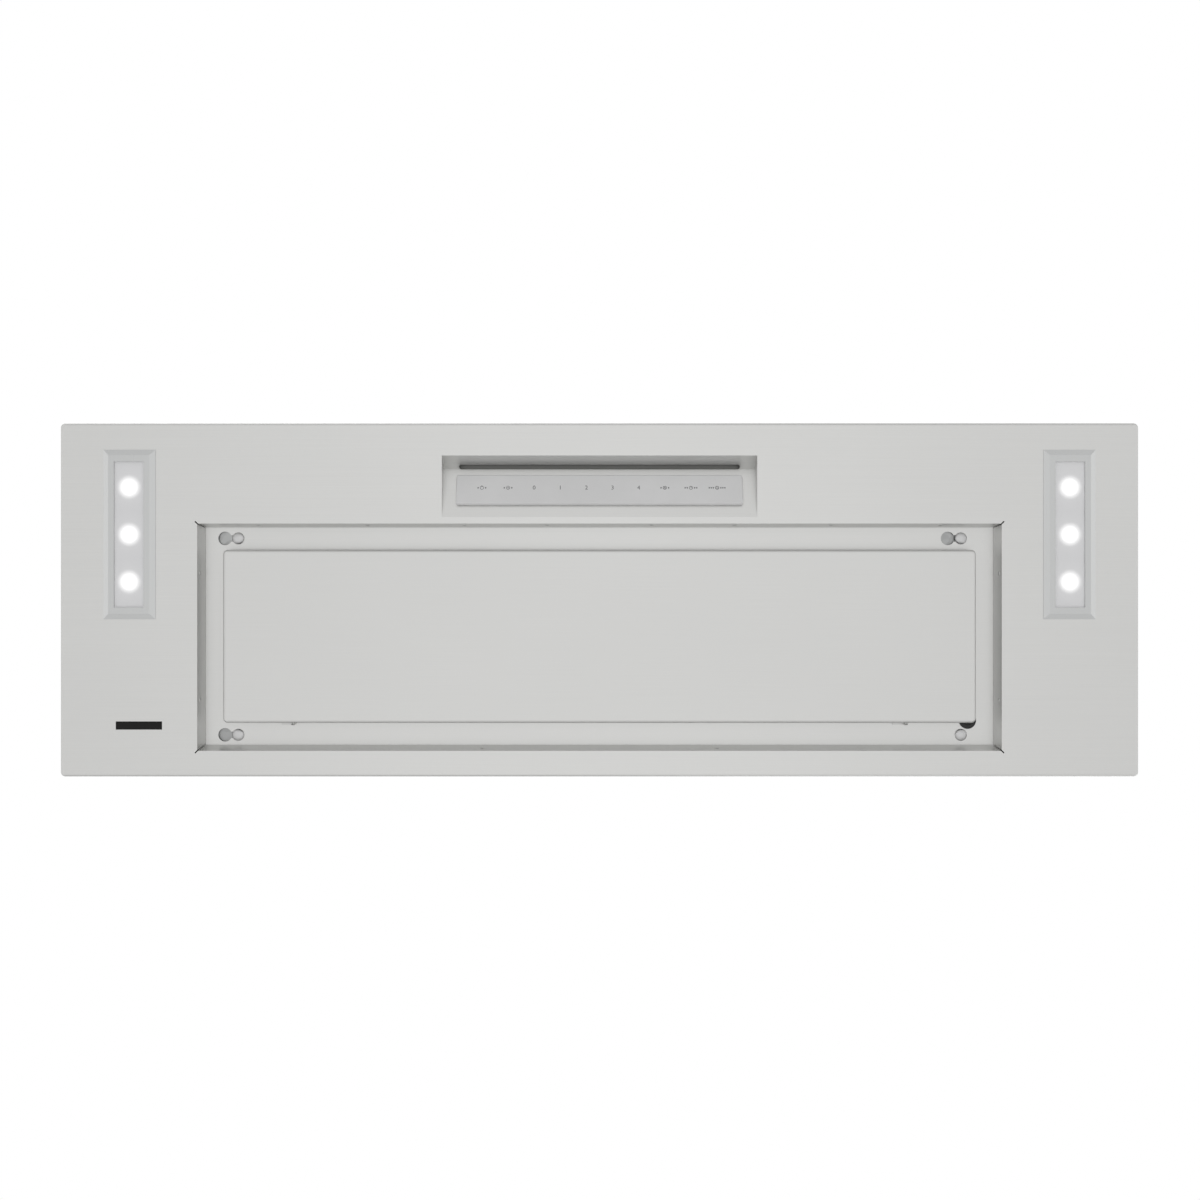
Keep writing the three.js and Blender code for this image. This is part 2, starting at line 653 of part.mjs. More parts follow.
function lampLens() {
  const w = LAMP_WINDOW_WIDTH + 2 * LENS_OVERLAP;
  const l = LAMP_WINDOW_LENGTH + 2 * LENS_OVERLAP;
  return slab(0, 0, w, l, LENS_Z, LENS_Z + LENS_THICKNESS);
}

// The board carries a round emitter for each LED, just behind the lens.
function lampBoard() {
  const face = LENS_Z + LENS_THICKNESS + GAP;
  const z = face + LED_HEIGHT;
  const w = lampSpigot.width - 2 * SPIGOT_WALL - 2 * GAP;
  const l = lampSpigot.length - 2 * SPIGOT_WALL - 2 * GAP;
  const emitters = [];
  for (let i = 0; i < LED_COUNT; i++) {
    const y = (i - (LED_COUNT - 1) / 2) * LED_PITCH;
    emitters.push(rod(LED_RADIUS, face, z + 0.5).translate(0, y, 0));
  }
  return join(slab(0, 0, w, l, z, z + BOARD), ...emitters);
}

function lampHousing() {
  const z = PLATE_TOP + GAP;
  const w = lampSpigot.width + 2 * GAP;
  const l = lampSpigot.length + 2 * GAP;
  const cup = slab(0, 0, w + 2 * PLASTIC, l + 2 * PLASTIC, z, z + LAMP_HOUSING_HEIGHT);
  const foot = slab(0, 0, w + 2 * LAMP_FOOT_REACH, l - 2 * LAMP_FOOT_SETBACK, z, z + PLASTIC);
  return cut(join(cup, foot), slab(0, 0, w, l, z - 1, z + LAMP_HOUSING_HEIGHT - PLASTIC));
}

for (const s of SIDES) {
  const lamp = new THREE.Group();
  lamp.position.set(s * LAMP_X, LAMP_Y, 0);
  hood.add(lamp);
  place(side(s) + "_lamp_bezel", lampBezel(), STEEL, lamp);
  place(side(s) + "_lamp_lens", lampLens(), LENS, lamp);
  place(side(s) + "_lamp_board", lampBoard(), WHITE_PLASTIC, lamp);
  place(side(s) + "_lamp_housing", lampHousing(), GREY_PLASTIC, lamp);
}

// ---- Sensor ----

function sensorWindow() {
  const top = PLATE_TOP + SENSOR_BACK_HEIGHT;
  const bar = slab(0, 0, SENSOR_WIDTH, SENSOR_DEPTH, PLATE_Z, top);
  const w = SENSOR_WIDTH + 2 * SENSOR_LIP;
  const lip = slab(0, 0, w, SENSOR_DEPTH + 2 * SENSOR_LIP, PLATE_TOP + GAP, top);
  return join(bar, lip);
}

function sensorModule() {
  const z = PLATE_TOP + SENSOR_BACK_HEIGHT + GAP;
  const w = SENSOR_WIDTH + 2 * SENSOR_BOX_BORDER.x;
  return slab(0, 0, w, SENSOR_DEPTH + 2 * SENSOR_BOX_BORDER.y, z, z + SENSOR_BOX_HEIGHT);
}

const sensor = new THREE.Group();
sensor.position.set(SENSOR_X, SENSOR_Y, 0);
hood.add(sensor);
place("sensor_window", sensorWindow(), BLACK, sensor);
place("sensor_module", sensorModule(), GREY_PLASTIC, sensor);

// ---- Suction tray ----

const STUDS = [
  { name: "hanging_stud_front_left", x: -STUD_X, y: STUD_FRONT_Y, keyhole: true },
  { name: "hanging_stud_front_right", x: STUD_X, y: STUD_FRONT_Y, keyhole: true },
  { name: "hanging_stud_rear_left", x: -STUD_X, y: STUD_REAR_Y, keyhole: true },
  { name: "locking_screw_rear_right", x: STUD_X, y: STUD_REAR_Y, keyhole: false },
];

// A keyhole: the head enters the round end, then the tray slides until the shank is in the slot.
function keyhole(stud) {
  const slotRadius = STUD_SHANK_RADIUS + KEYHOLE_SLOT_CLEARANCE;
  const hole = rod(slotRadius, LEDGE_Z - 1, TRAY_TOP + 1).translate(stud.x, stud.y, 0);
  if (!stud.keyhole) return [hole];
  const entryX = stud.x - KEYHOLE_SHIFT;
  const entry = rod(KEYHOLE_RADIUS, LEDGE_Z - 1, TRAY_TOP + 1).translate(entryX, stud.y, 0);
  const neck = block(
    entryX,
    stud.x,
    stud.y - slotRadius,
    stud.y + slotRadius,
    LEDGE_Z - 1,
    TRAY_TOP + 1,
  );
  return [hole, entry, neck];
}

function suctionTray() {
  const skirtZ = TRAY_TOP - SKIRT_HEIGHT;
  const leanAt = (z) => WALL_LEAN * ((z - PLATE_Z) / LEDGE_DEPTH);
  const wide = CUTOUT_WIDTH + 2 * (SHEET + GAP) - 2 * leanAt(skirtZ);
  const deep = CUTOUT_DEPTH + 2 * (SHEET + GAP) - 2 * leanAt(skirtZ);
  const lean = leanAt(TRAY_TOP) - leanAt(skirtZ);
  const outer = leaning(wide + 2 * SHEET, deep + 2 * SHEET, lean, skirtZ, TRAY_TOP);
  const inner = leaning(wide, deep, lean, skirtZ, TRAY_TOP);
  const hollow = meet(inner, slab(0, 0, wide, deep, skirtZ - 1, LEDGE_Z));
  const filters = slab(
    0,
    FILTER_OPENING_Y,
    FILTER_OPENING_WIDTH,
    FILTER_OPENING_DEPTH,
    LEDGE_Z - 1,
    TRAY_TOP + 1,
  );
  const plugHole = rod(PLUG_HOLE_RADIUS, LEDGE_Z - 1, TRAY_TOP + 1).translate(PLUG_X, PLUG_Y, 0);
  const shell = cut(outer, hollow).translate(0, CUTOUT_Y, 0);
  return cut(shell, filters, plugHole, ...STUDS.flatMap(keyhole));
}

place("suction_tray", suctionTray(), STEEL);

// A dome head under the tray, a shank through tray and rail, and a collar riveted over the rail.
function hangingStud() {
  const top = LEDGE_Z - GAP;
  const low = top - STUD_HEAD_HEIGHT;
  const collarZ = RAIL_Z + RAIL_SHEET + GAP;
  const collarTop = collarZ + STUD_COLLAR.height;
  const profile = [
    [0, low],
    [STUD_HEAD_RADIUS * 0.5, low + STUD_HEAD_HEIGHT * 0.12],
    [STUD_HEAD_RADIUS * 0.85, low + STUD_HEAD_HEIGHT * 0.38],
    [STUD_HEAD_RADIUS, low + STUD_HEAD_HEIGHT * 0.73],
    [STUD_HEAD_RADIUS, top],
    [STUD_SHANK_RADIUS, top],
    [STUD_SHANK_RADIUS, collarZ],
    [STUD_SHANK_RADIUS + STUD_COLLAR.border, collarZ],
    [STUD_SHANK_RADIUS + STUD_COLLAR.border, collarTop],
    [0, collarTop],
  ];
  return turned(profile, STUD_SIDES);
}

for (const stud of STUDS) place(stud.name, hangingStud().translate(stud.x, stud.y, 0), STEEL);

// A channel open at the top, with a hole for each stud and an ear over each keyhole's entry.
function supportRail(s) {
  const y = INNER_DEPTH / 2 - GAP;
  const top = RAIL_Z + RAIL_HEIGHT;
  const floor = RAIL_Z + RAIL_SHEET;
  const x = s * STUD_X;
  const studs = STUDS.filter((stud) => stud.x === x);
  const outer = slab(x, 0, RAIL_WIDTH, 2 * y, RAIL_Z, top);
  const trough = slab(x, 0, RAIL_WIDTH - 2 * RAIL_SHEET, 2 * y - 2 * RAIL_SHEET, floor, top + 1);
  const ears = studs
    .filter((stud) => stud.keyhole)
    .flatMap(({ y: studY }) => [
      rod(RAIL_EAR, RAIL_Z, floor, STUD_SIDES).translate(x - KEYHOLE_SHIFT, studY, 0),
      block(x - KEYHOLE_SHIFT, x, studY - RAIL_EAR, studY + RAIL_EAR, RAIL_Z, floor),
    ]);
  const holes = studs.map((stud) =>
    rod(STUD_SHANK_RADIUS + GAP, RAIL_Z - 1, top, STUD_SIDES).translate(x, stud.y, 0),
  );
  return cut(join(outer, ...ears), trough, ...holes);
}

for (const s of SIDES) place(side(s) + "_support_rail", supportRail(s), GALVANISED);

// Rubber plug with a groove that grips the tray's sheet.
function rubberPlug() {
  const neck = PLUG_HOLE_RADIUS - GAP;
  const face = LEDGE_Z - GAP - PLUG_HEAD;
  const profile = [
    [0, face],
    [PLUG_RADIUS - 0.6, face],
    [PLUG_RADIUS, face + 0.6],
    [PLUG_RADIUS, LEDGE_Z - GAP],
    [neck, LEDGE_Z - GAP],
    [neck, TRAY_TOP + GAP],
    [PLUG_RADIUS - 0.4, TRAY_TOP + GAP],
    [PLUG_RADIUS - 1.4, TRAY_TOP + PLUG_LIP],
    [0, TRAY_TOP + PLUG_LIP],
  ];
  return turned(profile, STUD_SIDES);
}

place("rubber_plug", rubberPlug().translate(PLUG_X, PLUG_Y, 0), BLACK);

// ---- Suction cover ----

const NOTCH_WIDTH = 2 * LUG_THICKNESS + 3 * LUG_GAP;

function coverPanel() {
  const top = COVER_Z + COVER_HEIGHT;
  const sheet = pan(COVER_WIDTH, COVER_DEPTH, COVER_CORNER, COVER_BEND, COVER_Z, top);
  const notchFloor = Math.min(COVER_Z + COVER_BEND, HINGE_Z - LUG_RADIUS - GAP);
  const notches = SIDES.map((s) =>
    slab(s * HINGE_X, COVER_DEPTH / 2, NOTCH_WIDTH, 2 * COVER_BEND, notchFloor, top + 1),
  );
  return cut(sheet, ...notches).translate(0, COVER_Y, 0);
}

place("cover_panel", coverPanel(), STEEL);

// A hat channel that keeps the panel flat.
function coverStiffener() {
  const z = COVER_Z + SHEET + GAP;
  const d = STIFFENER_DEPTH / 2;
  const h = STIFFENER_HEIGHT;
  const t = SHEET;
  const hat = [
    [-d, z],
    [-d / 2, z],
    [-d / 2, z + h - t],
    [d / 2, z + h - t],
    [d / 2, z],
    [d, z],
    [d, z + t],
    [d / 2 + t, z + t],
    [d / 2 + t, z + h],
    [-d / 2 - t, z + h],
    [-d / 2 - t, z + t],
    [-d, z + t],
  ];
  return extrudedX(hat, -STIFFENER_WIDTH / 2, STIFFENER_WIDTH / 2).translate(0, COVER_Y, 0);
}

place("cover_stiffener", coverStiffener(), GALVANISED);

// ---- Hinges ----

// A round lug about the hinge pin, in a plane across X, from x to x plus its thickness.
function lug(x) {
  const disc = alongX(rod(LUG_RADIUS, 0, LUG_THICKNESS, 20));
  return disc.translate(x, HINGE_Y, HINGE_Z);
}

function pinHole(x) {
  const hole = alongX(rod(PIN_RADIUS + PIN_CLEARANCE, -1, LUG_THICKNESS + 1, 16));
  return hole.translate(x, HINGE_Y, HINGE_Z);
}

// The fixed half: a lug under the tray, with a foot spot-welded to it.
function hingeBracket(x) {
  const top = LEDGE_Z - GAP;
  const neck = block(x, x + LUG_THICKNESS, HINGE_Y - LUG_RADIUS, HINGE_Y + LUG_RADIUS, HINGE_Z, top);
  const foot = block(
    x - FOOT_LENGTH,
    x + LUG_THICKNESS,
    HINGE_Y - LUG_RADIUS,
    HINGE_Y + LUG_RADIUS,
    top - SHEET,
    top,
  );
  return cut(join(lug(x), neck, foot), pinHole(x));
}

// The moving half: a lug that runs forward and down to a foot inside the cover.
function hingeEar(x) {
  const floor = COVER_Z + SHEET + GAP;
  const front = HINGE_Y - EAR_LENGTH;
  const arm = extrudedX(
    [
      [front, floor],
      [HINGE_Y - COVER_BEND, floor],
      [HINGE_Y + 1, HINGE_Z - LUG_RADIUS + 0.3],
      [HINGE_Y, HINGE_Z + LUG_RADIUS - 0.2],
      [front, floor + 3],
    ],
    x,
    x + LUG_THICKNESS,
  );
  const foot = block(x, x + FOOT_LENGTH, front, HINGE_Y - COVER_BEND, floor, floor + SHEET);
  return cut(join(lug(x), arm, foot), pinHole(x));
}

function hingePin(x0, x1) {
  const body = rod(PIN_RADIUS, x0 - PIN_HEAD, x1 + PIN_HEAD, 16);
  const heads = [
    rod(PIN_HEAD_RADIUS, x0 - PIN_HEAD, x0, 16),
    rod(PIN_HEAD_RADIUS, x1, x1 + PIN_HEAD, 16),
  ];
  return alongX(join(body, ...heads)).translate(0, HINGE_Y, HINGE_Z);
}

for (const s of SIDES) {
  const middle = s * HINGE_X;
  const bracketX = middle - LUG_GAP / 2 - LUG_THICKNESS;
  const earX = middle + LUG_GAP / 2;
  place(side(s) + "_hinge_bracket", hingeBracket(bracketX), STEEL);
  place(side(s) + "_hinge_ear", hingeEar(earX), STEEL);
  const pin = hingePin(bracketX - GAP, earX + LUG_THICKNESS + GAP);
  place(side(s) + "_hinge_pin", pin, STEEL);
}

function magnetCatch(x) {
  const rear = COVER_FRONT + MAGNET_BACK_FROM_EDGE + MAGNET_DEPTH;
  const y = rear - MAGNET_DEPTH / 2;
  const z = COVER_Z + SHEET + GAP;
  const body = slab(x, y, MAGNET_WIDTH, MAGNET_DEPTH, z, LEDGE_Z - GAP);
  const { width, depth } = MAGNET_GROOVE;
  const groove = slab(x, y, MAGNET_WIDTH + 2, width, z - 1, z + depth);
  return cut(body, groove);
}

for (const s of SIDES) place(side(s) + "_magnet_catch", magnetCatch(s * MAGNET_X), BLACK);

// ---- Grease filters ----

const LATCH_Z = TRAY_TOP + GAP;
const MESH_Z = FILTER_Z + (FILTER_HEIGHT - MESH_HEIGHT) / 2;
const filterFront = -FILTER_DEPTH / 2;
const meshWidth = FILTER_WIDTH - 2 * FILTER_RAIL;
const meshDepth = FILTER_DEPTH - FILTER_RAIL - FILTER_FRONT_RAIL;
const meshY = (FILTER_FRONT_RAIL - FILTER_RAIL) / 2;

// The frame is open over the mesh, has a groove round it for the mesh, and a pocket for the latch.
function filterFrame() {
  const outer = slab(0, 0, FILTER_WIDTH, FILTER_DEPTH, FILTER_Z, FILTER_TOP);
  const tabs = SIDES.map((s) =>
    slab(
      (s * FILTER_WIDTH) / 4,
      FILTER_DEPTH / 2 + FILTER_TAB_REACH / 2 - 0.5,
      FILTER_TAB_WIDTH,
      FILTER_TAB_REACH + 1,
      LATCH_Z,
      LATCH_Z + LATCH_THICKNESS,
    ),
  );
  const opening = slab(0, meshY, meshWidth, meshDepth, FILTER_Z - 1, FILTER_TOP + 1);
  const groove = slab(
    0,
    meshY,
    meshWidth + 2 * MESH_OVERLAP,
    meshDepth + 2 * MESH_OVERLAP,
    MESH_Z,
    MESH_Z + MESH_HEIGHT,
  );
  const pocketRear = filterFront - LATCH_REACH + LATCH_LENGTH + LATCH_TRAVEL + GAP;
  const pocket = block(
    -LATCH_WIDTH / 2 - GAP,
    LATCH_WIDTH / 2 + GAP,
    filterFront - 1,
    pocketRear,
    LATCH_Z - GAP,
    LATCH_Z + LATCH_THICKNESS + GAP,
  );
  const fingerFront = filterFront - LATCH_REACH + LATCH_LENGTH - THUMB_THICKNESS - GAP;
  const finger = block(
    -THUMB_WIDTH / 2 - GAP,
    THUMB_WIDTH / 2 + GAP,
    fingerFront,
    pocketRear,
    FILTER_Z - 1,
    LATCH_Z,
  );
  return cut(join(outer, ...tabs), opening, groove, pocket, finger);
}

function filterMesh() {
  const w = meshWidth + 2 * (MESH_OVERLAP - GAP);
  const d = meshDepth + 2 * (MESH_OVERLAP - GAP);
  return slab(0, meshY, w, d, MESH_Z + GAP, MESH_Z + MESH_HEIGHT - GAP);
}

// A bolt whose nose rests on the tray's front lip, with a thumb tab through the frame.
function filterLatch() {
  const front = filterFront - LATCH_REACH;
  const rear = front + LATCH_LENGTH;
  const half = LATCH_WIDTH / 2;
  const bolt = block(-half, half, front, rear, LATCH_Z, LATCH_Z + LATCH_THICKNESS);
  const low = FILTER_Z - THUMB_DROP;
  const thumb = block(-THUMB_WIDTH / 2, THUMB_WIDTH / 2, rear - THUMB_THICKNESS, rear, low, LATCH_Z + 0.5);
  return join(bolt, thumb);
}

const FILTER_NAMES = ["left", "middle", "right"];
for (let i = 0; i < FILTER_COUNT; i++) {
  const filter = new THREE.Group();
  filter.position.set((i - (FILTER_COUNT - 1) / 2) * FILTER_PITCH, FILTER_OPENING_Y, 0);
  hood.add(filter);
  place(FILTER_NAMES[i] + "_filter_frame", filterFrame(), STEEL, filter);
  place(FILTER_NAMES[i] + "_filter_mesh", filterMesh(), MESH, filter);
  place(FILTER_NAMES[i] + "_filter_latch", filterLatch(), BLACK, filter);
}

// ---- Housing ----

// A flat frame welded round the foot of the housing. It screws up into the cabinet's bottom board.
function cabinetFlange() {
  const z = FLANGE_TOP - SHEET;
  const w = HOUSING_WIDTH + 2 * FLANGE_REACH;
  const frame = slab(0, 0, w, HOUSING_DEPTH + 2 * FLANGE_REACH, z, FLANGE_TOP);
  const mouthWidth = HOUSING_WIDTH + 2 * GAP;
  const mouth = slab(0, 0, mouthWidth, HOUSING_DEPTH + 2 * GAP, z - 1, FLANGE_TOP + 1);
  const holes = [];
  for (const sx of SIDES) {
    for (const sy of SIDES) {
      const hole = rod(FLANGE_HOLE_RADIUS, z - 1, FLANGE_TOP + 1, 12);
      const y = sy * (HOUSING_DEPTH / 2 + FLANGE_REACH / 2);
      holes.push(hole.clone().translate(sx * (HOUSING_WIDTH / 2 - FLANGE_HOLE_INSET), y, 0));
      holes.push(hole.translate(sx * (HOUSING_WIDTH / 6), y, 0));
    }
  }
  return cut(frame, mouth, ...holes);
}

place("cabinet_flange_frame", cabinetFlange(), GALVANISED);

// Four walls that stand inside the flange frame, turned in at the top under the roof.
function housingWrap() {
  const outer = slab(0, 0, HOUSING_WIDTH, HOUSING_DEPTH, WRAP_Z, HOUSING_TOP);
  const inside = slab(0, 0, INNER_WIDTH, INNER_DEPTH, WRAP_Z - 1, HOUSING_TOP - SHEET);
  const mouth = slab(
    0,
    0,
    INNER_WIDTH - 2 * TOP_RETURN,
    INNER_DEPTH - 2 * TOP_RETURN,
    WRAP_Z - 1,
    HOUSING_TOP + 1,
  );
  return cut(outer, inside, mouth);
}

place("housing_wrap", housingWrap(), GALVANISED);

// Roof panel with the duct outlet and the wiring knock-out.
function housingRoof() {
  const z = HOUSING_TOP + GAP;
  const panel = slab(0, 0, HOUSING_WIDTH, HOUSING_DEPTH, z, z + SHEET);
  const outlet = rod(COLLAR_RADIUS - SHEET, z - 1, z + SHEET + 1, COLLAR_SIDES).translate(0, COLLAR_Y, 0);
  const knockout = rod(KNOCKOUT_RADIUS, z - 1, z + SHEET + 1).translate(BOX_X, 0, 0);
  return cut(panel, outlet, knockout);
}

place("housing_roof", housingRoof(), GALVANISED);

// ---- Duct collar and dampers ----

const collar = new THREE.Group();
collar.position.set(0, COLLAR_Y, 0);
hood.add(collar);
const collarInside = COLLAR_RADIUS - SHEET;

function ductCollar() {
  const z = ROOF_TOP + GAP;
  const stop = DAMPER_Z - SHEET / 2 - GAP;
  const ring = turned(
    [
      [collarInside, z],
      [COLLAR_RADIUS + COLLAR_FLANGE, z],
      [COLLAR_RADIUS + COLLAR_FLANGE, z + SHEET],
      [COLLAR_RADIUS, z + SHEET],
      [COLLAR_RADIUS, COLLAR_TOP],
      [collarInside, COLLAR_TOP],
      [collarInside, stop],
      [collarInside - DAMPER_STOP, stop],
      [collarInside - DAMPER_STOP, stop - SHEET],
      [collarInside, stop - SHEET],
      [collarInside, z],
    ],
    COLLAR_SIDES,
  );
  const rodHole = alongX(rod(DAMPER_ROD_RADIUS + GAP, -COLLAR_RADIUS - 5, COLLAR_RADIUS + 5, 12));
  return cut(ring, rodHole.translate(0, 0, DAMPER_Z));
}

place("duct_collar", ductCollar(), GALVANISED, collar);

const damperRod = alongX(rod(DAMPER_ROD_RADIUS, -COLLAR_RADIUS - 3, COLLAR_RADIUS + 3, 12));
place("damper_rod", damperRod.translate(0, 0, DAMPER_Z), STEEL, collar);

// A half disc that lies shut beside the rod, with two knuckles that reach round it.
function damperFlap(s) {
  const r = (collarInside - DAMPER_CLEARANCE) * Math.cos(Math.PI / COLLAR_SIDES);
  const z = DAMPER_Z - SHEET / 2;
  const disc = rod(r, z, z + SHEET, COLLAR_SIDES);
  const edge = s * DAMPER_SPLIT;
  const half = meet(disc, block(-r, r, Math.min(edge, s * r), Math.max(edge, s * r), z - 1, z + 2));
  const reach = DAMPER_ROD_RADIUS + GAP;
  const knuckles = SIDES.map((k) => {
    const x = k * DAMPER_KNUCKLE * 2 + s * DAMPER_KNUCKLE * 0.5;
    const l = KNUCKLE_LENGTH / 2;
    const sleeve = alongX(rod(reach + SHEET, -l, l, KNUCKLE_SIDES)).translate(x, 0, DAMPER_Z);
    const far = edge * 1.5;
    const tongue = block(x - l, x + l, Math.min(0, far), Math.max(0, far), z, z + SHEET);
    return join(sleeve, tongue);
  });
  const bore = alongX(rod(reach, -r, r, KNUCKLE_SIDES)).translate(0, 0, DAMPER_Z);
  return cut(join(half, ...knuckles), bore);
}

for (const s of SIDES) {
  place("damper_flap_" + (s < 0 ? "front" : "rear"), damperFlap(s), GALVANISED, collar);
}

// ---- Blower ----

const blower = new THREE.Group();
blower.position.set(0, BLOWER_Y, BLOWER_Z);
hood.add(blower);
const outletTop = HOUSING_TOP - BLOWER_Z;
const radians = (degrees) => (degrees * Math.PI) / 180;

// The casing's side view: a spiral from the tongue round to the outlet, then straight up.
function scrollOutline(inset, top) {
  const points = [];
  for (let i = 0; i <= SCROLL_STEPS; i++) {
    const degrees = SCROLL_START_DEG + (SCROLL_SWEEP * i) / SCROLL_STEPS;
    const radius = scrollRadius(degrees) - inset;
    points.push([radius * Math.cos(radians(degrees)), radius * Math.sin(radians(degrees))]);
  }
  const start = radians(SCROLL_START_DEG);
  const throat = SCROLL_START_RADIUS * Math.cos(start) + inset;
  points.push([SCROLL_END_RADIUS - inset, top], [throat, top]);
  if (inset > 0) points.push([throat, SCROLL_START_RADIUS * Math.sin(start) - TONGUE_DROP]);
  return points;
}

function blowerScroll() {
  const w = SCROLL_HALF_WIDTH;
  const outer = extrudedX(scrollOutline(0, outletTop), -w, w);
  const inner = extrudedX(scrollOutline(SHEET, outletTop + 1), -w + SHEET, w - SHEET);
  const inlets = alongX(rod(INLET_RADIUS + INLET_FLARE, -w - 1, w + 1, EYE_SIDES));
  const throat = SCROLL_START_RADIUS * Math.cos(radians(SCROLL_START_DEG));
  const flange = block(
    -w - OUTLET_FLANGE,
    w + OUTLET_FLANGE,
    throat - OUTLET_FLANGE,
    SCROLL_END_RADIUS + OUTLET_FLANGE,
    outletTop - SHEET,
    outletTop,
  );
  return cut(join(outer, flange), inner, inlets);
}

place("blower_scroll", blowerScroll(), GALVANISED, blower);

// A bellmouth that leads the air into the wheel's eye.
function inletRing(s) {
  const rim = INLET_RADIUS + INLET_FLARE - 2;
  const profile = [
    [INLET_RADIUS, -INLET_LIP],
    [INLET_RADIUS + SHEET, -INLET_LIP],
    [INLET_RADIUS + SHEET * 2, -INLET_LIP / 2],
    [rim, 0],
    [rim + INLET_LIP + 2, 0],
    [rim + INLET_LIP + 2, SHEET],
    [rim - SHEET, SHEET],
    [INLET_RADIUS + SHEET, -INLET_LIP / 2 + SHEET],
    [INLET_RADIUS, -INLET_LIP],
  ];
  const ring = alongX(turned(profile, EYE_SIDES)).translate(SCROLL_HALF_WIDTH + GAP, 0, 0);
  return s < 0 ? ring.rotateZ(Math.PI) : ring;
}

for (const s of SIDES) place(side(s) + "_inlet_ring", inletRing(s), GALVANISED, blower);

// One forward-curved blade across the whole wheel: its tip leans the way the wheel turns.
function wheelBlade() {
  const inner = [];
  const outer = [];
  for (let i = 0; i <= BLADE_STEPS; i++) {
    const share = i / BLADE_STEPS;
    const radius = WHEEL_INNER_RADIUS + 0.5 + share * (WHEEL_RADIUS - WHEEL_INNER_RADIUS - 1);
    const lean = BLADE_LEAN * share * share;
    inner.push([radius, lean - BLADE_THICKNESS / 2]);
    outer.unshift([radius, lean + BLADE_THICKNESS / 2]);
  }
  const edge = WHEEL_HALF_WIDTH - WHEEL_RING / 2;
  return extrudedX([...inner, ...outer], -edge, edge);
}

function tube(outerRadius, innerRadius, x0, x1) {
  const profile = [
    [innerRadius, x0],
    [outerRadius, x0],
    [outerRadius, x1],
    [innerRadius, x1],
    [innerRadius, x0],
  ];
  return alongX(turned(profile, WHEEL_SIDES));
}

// The double-inlet wheel: blades between two end rings, carried by a disc and hub in the middle.
function impeller() {
  const bore = SHAFT_RADIUS + GAP;
  const ends = SIDES.map((s) => {
    const x = s * (WHEEL_HALF_WIDTH - WHEEL_RING / 2);
    return tube(WHEEL_RADIUS, WHEEL_INNER_RADIUS, x - WHEEL_RING / 2, x + WHEEL_RING / 2);
  });
  const disc = tube(WHEEL_RADIUS, bore, -WHEEL_DISC / 2, WHEEL_DISC / 2);
  const hub = tube(HUB_RADIUS, bore, -HUB_LENGTH / 2, HUB_LENGTH / 2);
  const blades = [];
  for (let i = 0; i < WHEEL_BLADES; i++) {
    blades.push(wheelBlade().rotateX((2 * Math.PI * i) / WHEEL_BLADES));
  }
  return join(disc, hub, ...blades, ...ends);
}

place("impeller", impeller(), GALVANISED, blower);

const shaftEnd = HUB_LENGTH / 2 + SHAFT_END;
const shaftStart = -HUB_LENGTH / 2 - MOTOR_GAP - SHAFT_SEAT;
place("motor_shaft", alongX(rod(SHAFT_RADIUS, shaftStart, shaftEnd, 16)), STEEL, blower);

// The motor hangs inside the wheel's left half, with its shaft in the wheel's hub.
const motorFront = -HUB_LENGTH / 2 - MOTOR_GAP;
const motorRear = motorFront - MOTOR_LENGTH;

function motor() {
  const r = MOTOR_RADIUS;
  const body = turned([
    [0, motorRear],
    [r * 0.7, motorRear],
    [r, motorRear + 8],
    [r, motorFront - 12],
    [r * 0.85, motorFront - 5],
    [HUB_RADIUS, motorFront - 5],
    [HUB_RADIUS - 2, motorFront],
    [0, motorFront],
  ]);
  return alongX(cut(body, rod(SHAFT_RADIUS + GAP, shaftStart - GAP, motorFront + 1, 16)));
}

place("motor", motor(), BLACK, blower);

// A three-armed spider across the left inlet, with a boss that reaches in to the motor.
function motorBracket() {
  const face = -SCROLL_HALF_WIDTH - GAP - SHEET - GAP;
  const boss = rod(HUB_RADIUS + SPIDER_BOSS_BORDER, face - SPIDER_THICKNESS, motorRear - GAP);
  const arms = [];
  for (let i = 0; i < SPIDER_ARMS; i++) {
    const reach = INLET_RADIUS + INLET_FLARE + INLET_LIP - 2;
    const half = SPIDER_ARM_WIDTH / 2;
    const arm = block(0, reach, -half, half, face - SPIDER_THICKNESS, face);
    arms.push(arm.rotateZ((2 * Math.PI * (i + 0.25)) / SPIDER_ARMS));
  }
  return alongX(join(boss, ...arms));
}

place("motor_bracket", motorBracket(), GALVANISED, blower);

// ---- Electrical parts ----

const boxTop = HOUSING_TOP;

function junctionBox() {
  const outer = slab(BOX_X, 0, BOX_WIDTH, BOX_DEPTH, boxTop - BOX_HEIGHT, boxTop);
  const inner = slab(
    BOX_X,
    0,
    BOX_WIDTH - 2 * SHEET,
    BOX_DEPTH - 2 * SHEET,
    boxTop - BOX_HEIGHT - 1,
    boxTop - SHEET,
  );
  const knockout = rod(KNOCKOUT_RADIUS, boxTop - SHEET - 1, boxTop + 1).translate(BOX_X, 0, 0);
  return cut(outer, inner, knockout);
}

place("junction_box", junctionBox(), GALVANISED);
const lidTop = boxTop - BOX_HEIGHT - GAP;
place("junction_box_cover", slab(BOX_X, 0, BOX_WIDTH, BOX_DEPTH, lidTop - SHEET, lidTop), GALVANISED);

const wallY = INNER_DEPTH / 2 - GAP;

